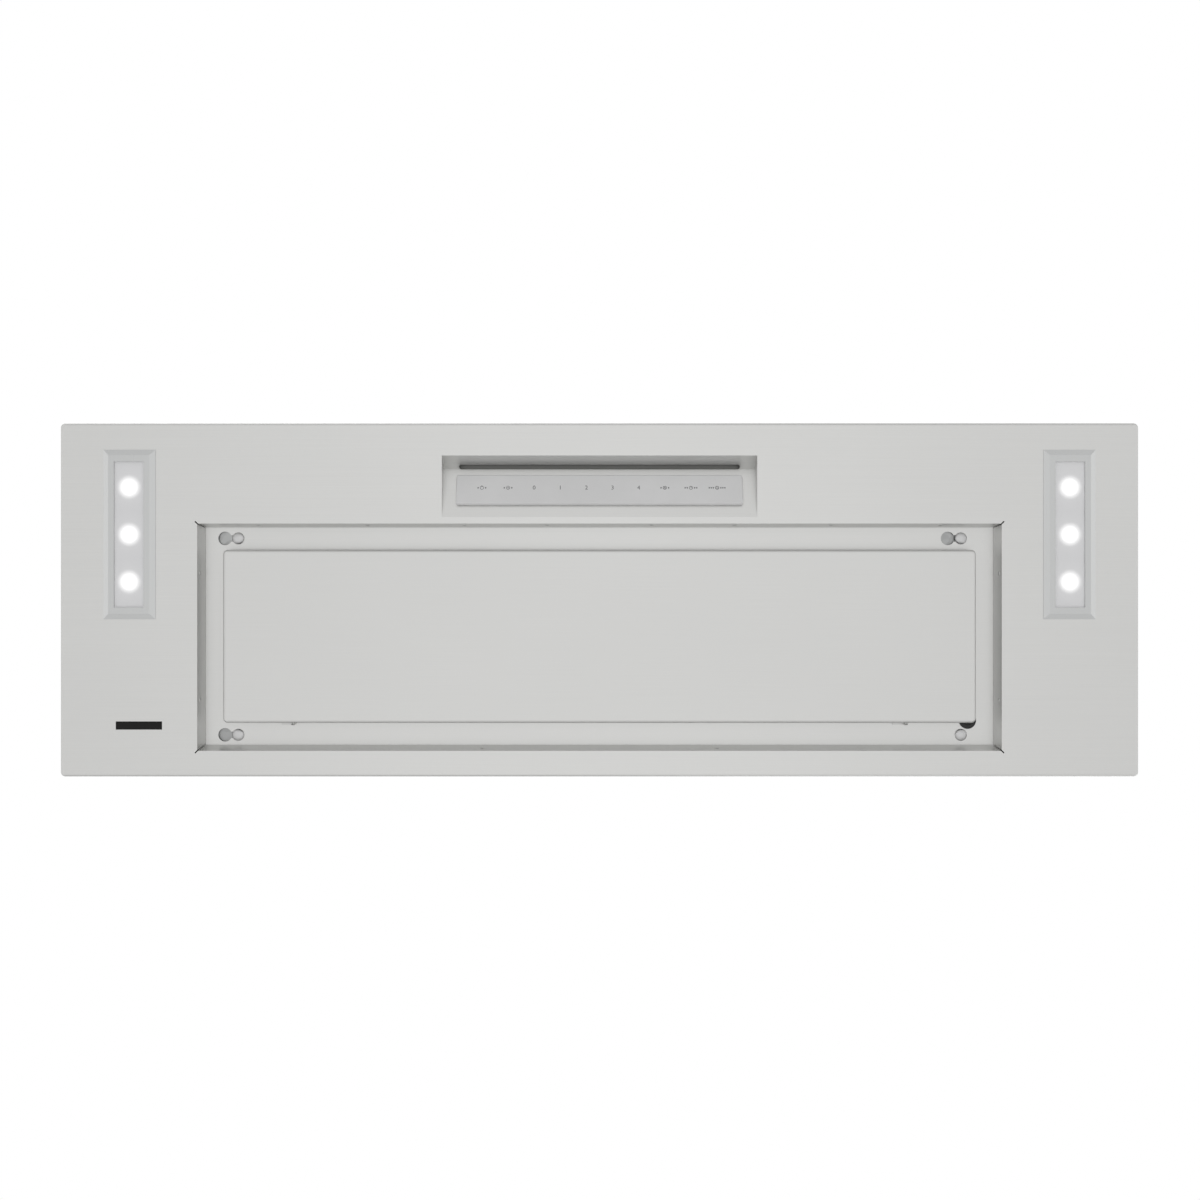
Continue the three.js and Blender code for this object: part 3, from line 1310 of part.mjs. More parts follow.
function powerModule() {
  const z = BLOWER_Z - MODULE_HEIGHT / 2;
  const y = wallY - MODULE_DEPTH / 2;
  const flat = roundedSlab(MODULE_X, 0, MODULE_WIDTH, MODULE_HEIGHT, MODULE_CORNER, -MODULE_DEPTH, 0);
  const upright = flat.rotateX(Math.PI / 2).translate(0, wallY - MODULE_DEPTH, BLOWER_Z);
  const sockets = SIDES.map((s) =>
    slab(MODULE_X + s * SOCKET.x, y, SOCKET.width, SOCKET.depth, z - 1, z + SOCKET.height),
  );
  return cut(upright, ...sockets);
}

place("power_module", powerModule(), WHITE_PLASTIC);

const capacitorZ = BLOWER_Z - CAPACITOR_LENGTH / 2;
const capacitor = turned([
  [0, capacitorZ],
  [CAPACITOR_RADIUS, capacitorZ],
  [CAPACITOR_RADIUS, capacitorZ + CAPACITOR_LENGTH - CAPACITOR_ROUND],
  [CAPACITOR_RADIUS - CAPACITOR_ROUND, capacitorZ + CAPACITOR_LENGTH],
  [0, capacitorZ + CAPACITOR_LENGTH],
]);
place("capacitor", capacitor.translate(CAPACITOR_X, wallY - CAPACITOR_RADIUS, 0), GREY_PLASTIC);

export default hood;
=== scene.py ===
import math

import bpy
from mathutils import Matrix, Vector


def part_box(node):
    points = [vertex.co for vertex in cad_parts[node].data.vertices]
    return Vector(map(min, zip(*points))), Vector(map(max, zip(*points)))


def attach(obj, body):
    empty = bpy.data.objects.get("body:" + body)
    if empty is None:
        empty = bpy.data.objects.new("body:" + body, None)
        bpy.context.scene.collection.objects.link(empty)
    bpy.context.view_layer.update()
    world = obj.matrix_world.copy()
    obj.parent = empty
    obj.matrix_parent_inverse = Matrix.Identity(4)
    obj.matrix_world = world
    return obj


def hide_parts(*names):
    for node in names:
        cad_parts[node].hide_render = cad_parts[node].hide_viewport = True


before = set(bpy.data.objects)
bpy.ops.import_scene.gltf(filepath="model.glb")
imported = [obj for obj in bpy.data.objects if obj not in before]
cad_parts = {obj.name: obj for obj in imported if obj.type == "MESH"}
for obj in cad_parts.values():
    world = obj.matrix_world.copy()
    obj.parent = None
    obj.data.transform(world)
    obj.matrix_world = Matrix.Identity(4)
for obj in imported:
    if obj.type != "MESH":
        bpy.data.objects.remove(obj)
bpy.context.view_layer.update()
bpy.ops.object.select_all(action="DESELECT")

# ---- Studio ----
# The hood hangs at its own height over a pale floor. The camera stands 1.5 m under the plate, a
# little to the front, and looks straight up, with the hood's front edge at the picture's top.
PLATE_Z = 0.003
CAMERA_DISTANCE = 1.5
CAMERA_Y = -0.0541
VIEW_WIDTH = 1.299
SENSOR = 36.0
SHIFT_UP = -50 / 1200
SHIFT_SIDE = 0.5 / 1200

camera_data = bpy.data.cameras.new("camera")
camera_data.sensor_width = SENSOR
camera_data.lens = SENSOR * CAMERA_DISTANCE / VIEW_WIDTH
camera_data.shift_x = SHIFT_SIDE
camera_data.shift_y = SHIFT_UP
camera_data.clip_start = 0.05
camera = bpy.data.objects.new("camera", camera_data)
camera.location = (0.0, CAMERA_Y, PLATE_Z - CAMERA_DISTANCE)
camera.rotation_euler = (math.pi, 0.0, 0.0)
bpy.context.collection.objects.link(camera)
bpy.context.scene.camera = camera

WHITE = (1, 1, 1, 1)
VECTOR = "ShaderNodeVectorMath"


def material(name, colour, roughness, metallic=0.0):
    """A Principled material with its own nodes, and the node that gives its gloss."""
    made = bpy.data.materials.new(name)
    made.use_nodes = True
    gloss = made.node_tree.nodes["Principled BSDF"]
    gloss.inputs["Base Color"].default_value = (*colour, 1.0)
    gloss.inputs["Roughness"].default_value = roughness
    gloss.inputs["Metallic"].default_value = metallic
    return made, gloss


def node(made, kind, **inputs):
    """A shader node of a material or of the world, with its inputs set by name."""
    new = made.node_tree.nodes.new(kind)
    for name, value in inputs.items():
        new.inputs[name].default_value = value
    return new


def wire(made, source, target):
    made.node_tree.links.new(source, target)


def maths(made, operation, *terms, kind="ShaderNodeMath", out=0):
    """What a maths node makes of its terms, each a fixed value or another node's output."""
    new = node(made, kind)
    new.operation = operation
    for number, term in enumerate(terms):
        if isinstance(term, bpy.types.NodeSocket):
            wire(made, term, new.inputs[number])
        else:
            new.inputs[number].default_value = term
    return new.outputs[out]


def between(made, source, low, high):
    """A pattern from 0 to 1, made to run from low to high."""
    scale = node(made, "ShaderNodeMapRange", **{"To Min": low, "To Max": high})
    wire(made, source, scale.inputs["Value"])
    return scale.outputs[0]


def mixed(made, share, first, second):
    """Two shaders mixed by the share of the second."""
    mix = node(made, "ShaderNodeMixShader")
    for number, source in enumerate((share, first, second)):
        wire(made, source, mix.inputs[number])
    return mix.outputs[0]


def looked_at(made):
    """1 for the rays that the camera sees by, straight or through glass, and 0 for all others."""
    rays = node(made, "ShaderNodeLightPath").outputs
    return maths(made, "MAXIMUM", rays["Is Camera Ray"], rays["Is Transmission Ray"])


# The floor looks white and keeps the hood's shadow. What metal mirrors of it is a pool of soft
# light that is brightest under the hood and falls off to the tone of the room's walls, and a bright
# strip far out at each end.
FLOOR_Z = -1.75
FLOOR_SIZE = 60.0
FLOOR_TONE = (0.72, 0.72, 0.72)
FLOOR_GLOW = 0.33
GROUND_TONE = 1.13
WALL_TONE = 0.46
POOL_STRETCH = 0.45
END_GLOW = 1.3
END_DISTANCE = 5.0
floor_paint, floor_gloss = material("pale_floor", FLOOR_TONE, 0.9)
spot = node(floor_paint, "ShaderNodeTexCoord").outputs["Object"]
stretched = maths(floor_paint, "MULTIPLY", spot, (1.0, POOL_STRETCH, 0.0), kind=VECTOR)
reach = maths(floor_paint, "DOT_PRODUCT", stretched, stretched, kind=VECTOR, out=1)
spread = maths(floor_paint, "MULTIPLY_ADD", reach, 1 / FLOOR_Z**2, 1.0)
pool = between(floor_paint, maths(floor_paint, "DIVIDE", 1.0, spread), WALL_TONE, GROUND_TONE)
sides = node(floor_paint, "ShaderNodeSeparateXYZ")
wire(floor_paint, spot, sides.inputs[0])
span = maths(floor_paint, "MULTIPLY", sides.outputs["X"], 1 / END_DISTANCE)
far_out = maths(floor_paint, "ADD", maths(floor_paint, "POWER", span, 2.0), 1.0)
ends = between(floor_paint, maths(floor_paint, "DIVIDE", 1.0, far_out), END_GLOW, 0.0)
mirrored = node(floor_paint, "ShaderNodeEmission", Color=WHITE)
wire(floor_paint, maths(floor_paint, "ADD", pool, ends), mirrored.inputs["Strength"])
glow = node(floor_paint, "ShaderNodeEmission", Color=WHITE, Strength=FLOOR_GLOW)
lit = node(floor_paint, "ShaderNodeAddShader")
wire(floor_paint, floor_gloss.outputs[0], lit.inputs[0])
wire(floor_paint, glow.outputs[0], lit.inputs[1])
plain = mixed(floor_paint, looked_at(floor_paint), floor_gloss.outputs[0], lit.outputs[0])
in_metal = node(floor_paint, "ShaderNodeLightPath").outputs["Is Glossy Ray"]
shown = mixed(floor_paint, in_metal, plain, mirrored.outputs[0])
wire(floor_paint, shown, floor_paint.node_tree.nodes["Material Output"].inputs[0])
bpy.ops.mesh.primitive_plane_add(size=FLOOR_SIZE, location=(0, 0, FLOOR_Z))
floor = bpy.context.object
floor.name = "floor"
floor.data.materials.append(floor_paint)
bpy.ops.object.select_all(action="DESELECT")

# The room round the hood: white where it is looked at, and for the metal to mirror pale above and
# below, with greyer walls at the front and back than at the two ends.
END_TONE = 0.9
world = bpy.data.worlds.new("studio")
bpy.context.scene.world = world
world.use_nodes = True
world.node_tree.nodes.clear()
heading = node(world, "ShaderNodeSeparateXYZ")
wire(world, node(world, "ShaderNodeTexCoord").outputs["Generated"], heading.inputs[0])
across = maths(world, "MULTIPLY", heading.outputs["X"], heading.outputs["X"])
upright = maths(world, "MULTIPLY", heading.outputs["Z"], heading.outputs["Z"])
walls = maths(world, "ADD", WALL_TONE, maths(world, "MULTIPLY", across, END_TONE - WALL_TONE))
rise = maths(world, "SUBTRACT", GROUND_TONE, walls)
room = node(world, "ShaderNodeBackground", Color=WHITE)
tone = maths(world, "ADD", walls, maths(world, "MULTIPLY", upright, rise))
wire(world, tone, room.inputs["Strength"])
seen = node(world, "ShaderNodeBackground", Color=WHITE, Strength=1.0)
surround = mixed(world, looked_at(world), room.outputs[0], seen.outputs[0])
wire(world, surround, node(world, "ShaderNodeOutputWorld").inputs[0])
bpy.context.scene.view_settings.view_transform = "Standard"

# Two large soft lights over the hood, one at the front left and one at the rear right, for the
# views from above.
LIGHT_SIZE = (3.0, 2.4)
LIGHT_TARGET = (0, 0, 0.1)


def soft_light(name, place, power):
    data = bpy.data.lights.new(name, "AREA")
    data.shape = "RECTANGLE"
    data.size, data.size_y = LIGHT_SIZE
    data.energy = power
    lamp = bpy.data.objects.new(name, data)
    lamp.location = place
    aim = Vector(LIGHT_TARGET) - Vector(place)
    lamp.rotation_euler = aim.to_track_quat("-Z", "Y").to_euler()
    bpy.context.collection.objects.link(lamp)


soft_light("front_above", (-1.2, -2.2, 1.8), 24)
soft_light("rear_above", (1.4, 2.2, 1.6), 18)


# ---- Fascia panel ----
# One sheet of 1.2 mm stainless steel, brushed along its width. Its edges are bent up, the cut-out's
# edges are folded inwards, and the control recess is pressed into it.
STEEL_TONE = (0.65, 0.65, 0.638)
STEEL_ROUGH = 0.32
STEEL_METALLIC = 0.84
GRAIN_LENGTH = 9.0
GRAIN_FINE = 1500.0
RELIEF_HEIGHT = 0.0001


def object_place(made):
    return node(made, "ShaderNodeTexCoord").outputs["Object"]


def noise(made, place, scale, detail, out=0, **more):
    """A cloudy pattern from 0 to 1, or with out=1 one in three channels."""
    clouds = node(made, "ShaderNodeTexNoise", Scale=scale, Detail=detail, **more)
    wire(made, place, clouds.inputs["Vector"])
    return clouds.outputs[out]


def shaded(made, gloss, colour, shares):
    """A base colour that a pattern makes lighter and darker."""
    wire(made, maths(made, "MULTIPLY", colour, shares, kind=VECTOR), gloss.inputs["Base Color"])


def raised(made, gloss, pattern, strength):
    """A pattern that catches the light as a fine relief."""
    bump = node(made, "ShaderNodeBump", Strength=strength, Distance=RELIEF_HEIGHT)
    wire(made, pattern, bump.inputs["Height"])
    wire(made, bump.outputs[0], gloss.inputs["Normal"])


def brushed(name, colour, rough, depth=1.0, grain=(GRAIN_LENGTH, GRAIN_FINE, GRAIN_FINE)):
    """Brushed metal: long fine streaks in tone, gloss and height, over slow patches."""
    made, gloss = material(name, colour, rough, STEEL_METALLIC)
    along = node(made, "ShaderNodeMapping", Scale=grain)
    wire(made, object_place(made), along.inputs[0])
    streaks = noise(made, along.outputs[0], 1.0, 3.0, Roughness=0.6)
    tone = between(made, streaks, 1.0 - 0.045 * depth, 1.0 + 0.045 * depth)
    slow = between(made, noise(made, object_place(made), 5.0, 2.0), 0.985, 1.015)
    shaded(made, gloss, colour, maths(made, "MULTIPLY", tone, slow))
    haze = between(made, streaks, rough - 0.06, rough + 0.06)
    wire(made, haze, gloss.inputs["Roughness"])
    raised(made, gloss, streaks, 0.12 * depth)
    return made


def paint(made, *names):
    """Gives CAD nodes a finish."""
    for name in names:
        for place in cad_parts[name].material_slots:
            place.material = made


fascia_steel = brushed("fascia_steel", STEEL_TONE, STEEL_ROUGH)
paint(fascia_steel, "fascia_panel")

# The guard channel behind the recess's air slot lies in the housing's shade, and its steel is
# painted dark as painted shade. Its grain is fainter and its gloss duller than the plate's.
guard_steel_painted_shade = brushed("guard_steel_painted_shade", (0.2, 0.202, 0.193), 0.5, 0.6)
paint(guard_steel_painted_shade, "air_guard")


# ---- Clinch points ----
# Shallow round dimples, pressed out where the cut-out's walls are joined to the tray's skirt:
# eight along the front wall, two at the rear and two at each end.
CLINCH_RADIUS = 0.0026
CLINCH_HEIGHT = 0.0008
CLINCH_PROFILE = ((0.92, 0.35), (0.62, 0.85), (0.2, 1.0))
CLINCH_SUNK = 0.0003
CLINCH_RISE = 0.0105
CUTOUT_LEAN = 4 / 19
CUTOUT_FRONT = -0.0827
CUTOUT_REAR = 0.1633
CUTOUT_SIDE = 0.4355
FRONT_CLINCHES = (0.3705, 0.252, 0.147, 0.057)
REAR_CLINCH = 0.1275
END_CLINCHES = (-0.029, 0.109)
SIDES = (-1, 1)
SMOOTH_ANGLE = math.radians(35)


def turned_piece(name, rings, sides=48):
    """A solid of revolution about Z: a disc, then rings of (radius, height) extruded and scaled."""
    first = rings[0]
    bpy.ops.mesh.primitive_circle_add(vertices=sides, radius=first[0], fill_type="NGON")
    piece = bpy.context.object
    piece.name = name
    bpy.ops.object.mode_set(mode="EDIT")
    bpy.ops.mesh.select_all(action="SELECT")
    bpy.ops.transform.translate(value=(0, 0, first[1]))
    for (last_radius, last_height), (radius, height) in zip(rings, rings[1:]):
        lift = (0, 0, height - last_height)
        bpy.ops.mesh.extrude_region_move(TRANSFORM_OT_translate={"value": lift})
        size = radius / last_radius
        bpy.ops.transform.resize(value=(size, size, 1), center_override=(0, 0, height))
    bpy.ops.mesh.select_all(action="SELECT")
    bpy.ops.mesh.normals_make_consistent(inside=False)
    bpy.ops.object.mode_set(mode="OBJECT")
    bpy.ops.object.shade_smooth_by_angle(angle=SMOOTH_ANGLE)
    bpy.ops.object.select_all(action="DESELECT")
    return piece


def settle(piece, made, body, slot_name, *stands_for):
    """Finish and body for a new piece that lies in place, and hides the CAD nodes that it stands
    for.
    """
    piece.data.materials.clear()
    piece.data.materials.append(made)
    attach(piece, body)
    if stands_for:
        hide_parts(*stands_for)


def shift(x, y, z=0.0):
    return Matrix.Translation((x, y, z))


def turned(angle, axis):
    return Matrix.Rotation(angle, 4, axis)


def copied(piece, name, move):
    """A copy with its own mesh, moved in its mesh."""
    other = piece.copy()
    other.data = piece.data.copy()
    other.name = name
    other.data.transform(move)
    bpy.context.collection.objects.link(other)
    return other


def joined(name, copies):
    """Several like objects as one."""
    bpy.ops.object.select_all(action="DESELECT")
    for piece in copies:
        piece.select_set(True)
    bpy.context.view_layer.objects.active = copies[0]
    bpy.ops.object.join()
    copies[0].name = name
    bpy.ops.object.select_all(action="DESELECT")
    return copies[0]


dimple_rings = [(CLINCH_RADIUS, -CLINCH_SUNK)]
dimple_rings += [(CLINCH_RADIUS * wide, CLINCH_HEIGHT * high) for wide, high in CLINCH_PROFILE]
dimple = turned_piece("dimple", dimple_rings, 20)
inward = CUTOUT_LEAN * (CLINCH_RISE - PLATE_Z)
places = []
for x in FRONT_CLINCHES:
    for side in SIDES:
        places.append(((side * x, CUTOUT_FRONT + inward, CLINCH_RISE), (0, 1, 0)))
for side in SIDES:
    places.append(((side * REAR_CLINCH, CUTOUT_REAR - inward, CLINCH_RISE), (0, -1, 0)))
    for y in END_CLINCHES:
        places.append(((side * (CUTOUT_SIDE - inward), y, CLINCH_RISE), (-side, 0, 0)))
dimples = []
for number, (place, facing) in enumerate(places):
    tilt = Vector(facing) - Vector((0, 0, CUTOUT_LEAN))
    turn = tilt.to_track_quat("Z", "Y").to_matrix().to_4x4()
    dimples.append(copied(dimple, f"dimple_{number}", shift(*place) @ turn))
bpy.data.objects.remove(dimple)
clinch_points = joined("clinch_points", dimples)
settle(clinch_points, fascia_steel, "hood", "stainless")


# ---- Suction tray ----
# The same brushed sheet, pressed over the cut-out's walls. It hangs by keyholes on three
# dome-headed studs, and a like-headed screw at the rear right stops it sliding back off them.
STUD_HEAD_RADIUS = 0.0065
STUD_HEAD_HEIGHT = 0.0026
STUD_HEAD_PROFILE = (
    (0.18, 0.0),
    (0.42, 0.00018),
    (0.64, 0.0005),
    (0.82, 0.00098),
    (0.94, 0.0015),
    (1.0, 0.0021),
    (1.0, STUD_HEAD_HEIGHT),
)
STUD_SHANK_RADIUS = 0.003
STUD_COLLAR_RADIUS = 0.0055
STUD_COLLAR_HEIGHT = 0.003
SHOULDER = 0.0000001
tray_steel = brushed("tray_steel", STEEL_TONE, STEEL_ROUGH, 0.8)
paint(tray_steel, "suction_tray")
stud_steel = brushed("stud_steel", (0.64, 0.64, 0.64), 0.48, 0.4, (900, 900, 900))


def over(piece, low, high):
    """Moves a piece turned about Z over the middle of a box."""
    piece.data.transform(shift((low.x + high.x) / 2, (low.y + high.y) / 2))


for name in (
    "hanging_stud_front_left",
    "hanging_stud_front_right",
    "hanging_stud_rear_left",
    "locking_screw_rear_right",
):
    low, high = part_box(name)
    head = [(STUD_HEAD_RADIUS * wide, low.z + rise) for wide, rise in STUD_HEAD_PROFILE]
    shank = [
        (STUD_SHANK_RADIUS, low.z + STUD_HEAD_HEIGHT + SHOULDER),
        (STUD_SHANK_RADIUS, high.z - STUD_COLLAR_HEIGHT),
        (STUD_COLLAR_RADIUS, high.z - STUD_COLLAR_HEIGHT + SHOULDER),
        (STUD_COLLAR_RADIUS, high.z),
    ]
    stud = turned_piece(name + "_fine", head + shank)
    over(stud, low, high)
    settle(stud, stud_steel, "hood", "stainless", name)


# ---- Rubber plug ----
# A black rubber plug that closes a service hole in the tray, half hidden by the cover's corner.
PLUG_PROFILE = ((0.5, 0.0006), (0.56, 0.0), (0.9, 0.0), (0.98, 0.0004), (1.0, 0.001), (1.0, 0.0016))
PLUG_HEAD = 0.0016
NECK_RADIUS = 0.0077
NECK_END = 0.0034
BARB_RADIUS = 0.0088
TIP_RADIUS = 0.0078
rubber, rubber_gloss = material("black_rubber", (0.012, 0.012, 0.011), 0.55)
raised(rubber, rubber_gloss, noise(rubber, object_place(rubber), 1400.0, 2.0), 0.2)
low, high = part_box("rubber_plug")
plug_radius = (high.x - low.x) / 2
plug_head = [(plug_radius * wide, low.z + rise) for wide, rise in PLUG_PROFILE]
plug_neck = [
    (NECK_RADIUS, low.z + PLUG_HEAD + SHOULDER),
    (NECK_RADIUS, low.z + NECK_END),
    (BARB_RADIUS, low.z + NECK_END + SHOULDER),
    (TIP_RADIUS, high.z),
]
plug = turned_piece("rubber_plug_fine", plug_head + plug_neck)
over(plug, low, high)
settle(plug, rubber, "hood", "black_rubber", "rubber_plug")


# ---- Cover panel ----
# A flat stainless pan that hangs under the tray's opening and leaves a slot all round, through
# which the air is drawn. A hat-section stiffener is spot welded across its upper side.
WELD_RADIUS = 0.002
WELD_PITCH = 0.06
WELD_COUNT = 10
WELD_INSET = 0.0045
BRIM_THICKNESS = 0.0008
cover_steel = brushed("cover_steel", (0.665, 0.665, 0.653), 0.42, 0.9)
paint(cover_steel, "cover_panel")
stiffener_steel = brushed("stiffener_steel", (0.52, 0.52, 0.51), 0.42, 0.7)
paint(stiffener_steel, "cover_stiffener")

weld = turned_piece(
    "weld", [(WELD_RADIUS, -0.0001), (WELD_RADIUS * 0.8, 0.00012), (WELD_RADIUS * 0.3, 0.0002)], 16
)
low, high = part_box("cover_stiffener")
welds = []
for number in range(WELD_COUNT):
    x = (number - (WELD_COUNT - 1) / 2) * WELD_PITCH
    for y in (low.y + WELD_INSET, high.y - WELD_INSET):
        welds.append(copied(weld, f"weld_{number}", shift(x, y, low.z + BRIM_THICKNESS)))
bpy.data.objects.remove(weld)
stiffener_welds = joined("stiffener_welds", welds)
settle(stiffener_welds, stiffener_steel, "cover", "stainless")


# ---- Hinges ----
# A lug hangs from the tray on each side and a plate stands up from the cover. A headed steel pin
# goes through both. The cover turns on them at its rear edge, so its front edge swings down.
hinge_steel = brushed("hinge_steel", (0.56, 0.56, 0.55), 0.32, 0.8, (600, 600, 600))
for side in ("left", "right"):
    paint(hinge_steel, f"{side}_hinge_bracket", f"{side}_hinge_ear", f"{side}_hinge_pin")


# ---- Magnet catches ----
# Two small magnets in black housings on the tray hold the cover's front edge up. Each shows the two
# steel pole plates that touch the cover.
POLE_PLACES = (0.3, 0.7)
POLE_INSET = 0.005
POLE_HALF = 0.0008
POLE_PROUD = 0.00015
POLE_SUNK = 0.001
POLE_ROUNDING = 0.0002


def moulded(name, colour, rough, grain=2600.0, depth=1.0):
    """Moulded plastic: an eroded, very fine skin over slow patches of tone and gloss."""
    made, gloss = material(name, colour, rough)
    patches = noise(made, object_place(made), 22.0, 3.0)
    haze = between(made, patches, max(rough - 0.05, 0.02), rough + 0.05)
    wire(made, haze, gloss.inputs["Roughness"])
    shaded(made, gloss, colour, between(made, patches, 0.94, 1.06))
    raised(made, gloss, noise(made, object_place(made), grain, 2.0), 0.12 * depth)
    return made


def box_piece(name, low, high, bevel=0.0, segments=2):
    """A block between two corners, with its edges rounded."""
    middle = [(a + b) / 2 for a, b in zip(low, high)]
    bpy.ops.mesh.primitive_cube_add(size=1, location=middle)
    piece = bpy.context.object
    piece.name = name
    piece.scale = [b - a for a, b in zip(low, high)]
    bpy.ops.object.transform_apply(location=True, rotation=True, scale=True)
    if bevel:
        bpy.ops.object.mode_set(mode="EDIT")
        bpy.ops.mesh.select_all(action="SELECT")
        bpy.ops.mesh.bevel(offset=bevel, segments=segments)
        bpy.ops.object.mode_set(mode="OBJECT")
        bpy.ops.object.shade_smooth_by_angle(angle=math.radians(40))
    bpy.ops.object.select_all(action="DESELECT")
    return piece


black_plastic = moulded("black_plastic", (0.02, 0.02, 0.021), 0.42)
for side in ("left", "right"):
    catch = f"{side}_magnet_catch"
    paint(black_plastic, catch)
    low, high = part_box(catch)
    plates = []
    for place in POLE_PLACES:
        y = low.y + (high.y - low.y) * place
        plates.append(
            box_piece(
                f"{catch}_plate_{place}",
                (low.x + POLE_INSET, y - POLE_HALF, low.z - POLE_PROUD),
                (high.x - POLE_INSET, y + POLE_HALF, low.z + POLE_SUNK),
                POLE_ROUNDING,
            )
        )
    pole_plates = joined(f"{catch}_poles", plates)
    settle(pole_plates, hinge_steel, "hood", "stainless")


# ---- Touch strip ----
# A long, pale, satin strip on the sloping floor of the recess, turned to face the cook. Plain signs
# and the steps 0 to 4 are printed on it in dark grey.
STRIP_TONE = (0.73, 0.73, 0.73)
PRINT_TONE = (0.10, 0.10, 0.105)
SLOPE_ANGLE = math.atan2(19.0, 52.7)
SLOPE_MIDDLE = (0.0, -0.11615, 0.0125)
STRIP_FACE = -0.0053
SIGN_LINE = -0.004
SIGN_PITCH = 0.0284
FIRST_SIGN = -0.1278
FIRST_NUMBER = 2
SIGN_SIZE = 0.0066
PRINT_THICKNESS = 0.00002
LINE = 0.0005
RING_RADIUS = 0.0021
DASH = (0.0012, 0.0016)
DASH_START = 0.0041
DASH_PITCH = 0.0022
# Each key with a sign: its place in the row, and the number of dashes on each side of its ring.
KEYS = {"on": (0, 1), "light": (1, 1), "fan": (7, 1), "clock": (8, 2), "filter": (9, 3)}

strip_finish = moulded("touch_strip_satin", STRIP_TONE, 0.3, 3800.0, 0.3)
paint(strip_finish, "touch_strip")
sign_print = moulded("sign_print", PRINT_TONE, 0.5, 4000.0, 0.2)
on_slope = shift(*SLOPE_MIDDLE) @ turned(-SLOPE_ANGLE, "X")


def on_strip(x, y=0.0):
    """Where a sign lies on the strip's face, with its top towards the front of the hood."""
    face = STRIP_FACE - PRINT_THICKNESS / 2
    return on_slope @ shift(x, SIGN_LINE - y, face) @ turned(math.pi, "X")


def printed_bar(x, y, width, height, turn=0.0):
    half = (width / 2, height / 2, PRINT_THICKNESS)
    bar = box_piece("bar", [-value for value in half], half)
    bar.data.transform(on_strip(x, y) @ turned(turn, "Z"))
    return bar


def printed_ring(x):
    """A flat disc whose middle is inset and taken out."""
    bpy.ops.mesh.primitive_circle_add(vertices=32, radius=RING_RADIUS, fill_type="NGON")
    ring = bpy.context.object
    bpy.ops.object.mode_set(mode="EDIT")
    bpy.ops.mesh.select_all(action="SELECT")
    bpy.ops.mesh.inset(thickness=LINE, depth=0)
    bpy.ops.mesh.delete(type="FACE")
    bpy.ops.mesh.select_all(action="SELECT")
    up = (0, 0, PRINT_THICKNESS)
    bpy.ops.mesh.extrude_region_move(TRANSFORM_OT_translate={"value": up})
    bpy.ops.mesh.select_all(action="SELECT")
    bpy.ops.mesh.normals_make_consistent(inside=False)
    bpy.ops.object.mode_set(mode="OBJECT")
    bpy.ops.object.select_all(action="DESELECT")
    ring.data.transform(on_strip(x))
    return ring


def printed_number(text, x):
    bpy.ops.object.text_add()
    sign = bpy.context.object
    sign.data.body = text
    sign.data.size = SIGN_SIZE
    sign.data.align_x = "CENTER"
    sign.data.align_y = "CENTER"
    sign.data.extrude = PRINT_THICKNESS
    sign.data.resolution_u = 4
    bpy.ops.object.convert(target="MESH")
    sign = bpy.context.object
    sign.data.transform(on_strip(x))
    bpy.ops.object.select_all(action="DESELECT")
    return sign


signs = []
for number in range(5):
    x = FIRST_SIGN + (FIRST_NUMBER + number) * SIGN_PITCH
    signs.append(printed_number(str(number), x))
middle = {name: FIRST_SIGN + place * SIGN_PITCH for name, (place, dashes) in KEYS.items()}
for x in middle.values():
    signs.append(printed_ring(x))
signs.append(printed_bar(middle["on"], 0.0017, LINE, 0.0022))
signs.append(printed_bar(middle["light"], 0.0, 0.0012, 0.0012))
for turn in (0.25, 0.75):
    signs.append(printed_bar(middle["fan"], 0.0, 0.0036, LINE, turn * math.pi))
signs.append(printed_bar(middle["clock"], 0.0008, LINE, 0.0016))
signs.append(printed_bar(middle["clock"] + 0.0006, 0.0, 0.0013, LINE))
for y in (-0.0007, 0.0007):
    signs.append(printed_bar(middle["filter"], y, 0.003, 0.0004))
for name, (place, dashes) in KEYS.items():
    for side in SIDES:
        for number in range(dashes):
            x = middle[name] + side * (DASH_START + number * DASH_PITCH)
            signs.append(printed_bar(x, 0.0, *DASH))
strip_signs = joined("strip_signs", signs)
settle(strip_signs, sign_print, "hood", "touch_glass")

# The plastic housing behind the strip, and in it the control's printed board: lacquered green, with
# fine tracks and pads in a darker and a brighter tone.
BOARD_TONE = (0.015, 0.075, 0.03)
grey_plastic = moulded("grey_plastic", (0.30, 0.30, 0.30), 0.5)
paint(grey_plastic, "control_housing")
board_green, board_gloss = material("board_green", BOARD_TONE, 0.35)
tracks = node(board_green, "ShaderNodeTexBrick", Scale=260.0)
for part, share in (("Color1", 1.0), ("Color2", 0.8), ("Mortar", 1.7)):
    tracks.inputs[part].default_value = (*[value * share for value in BOARD_TONE], 1)
wire(board_green, object_place(board_green), tracks.inputs["Vector"])
wire(board_green, tracks.outputs["Color"], board_gloss.inputs["Base Color"])
paint(board_green, "control_board")


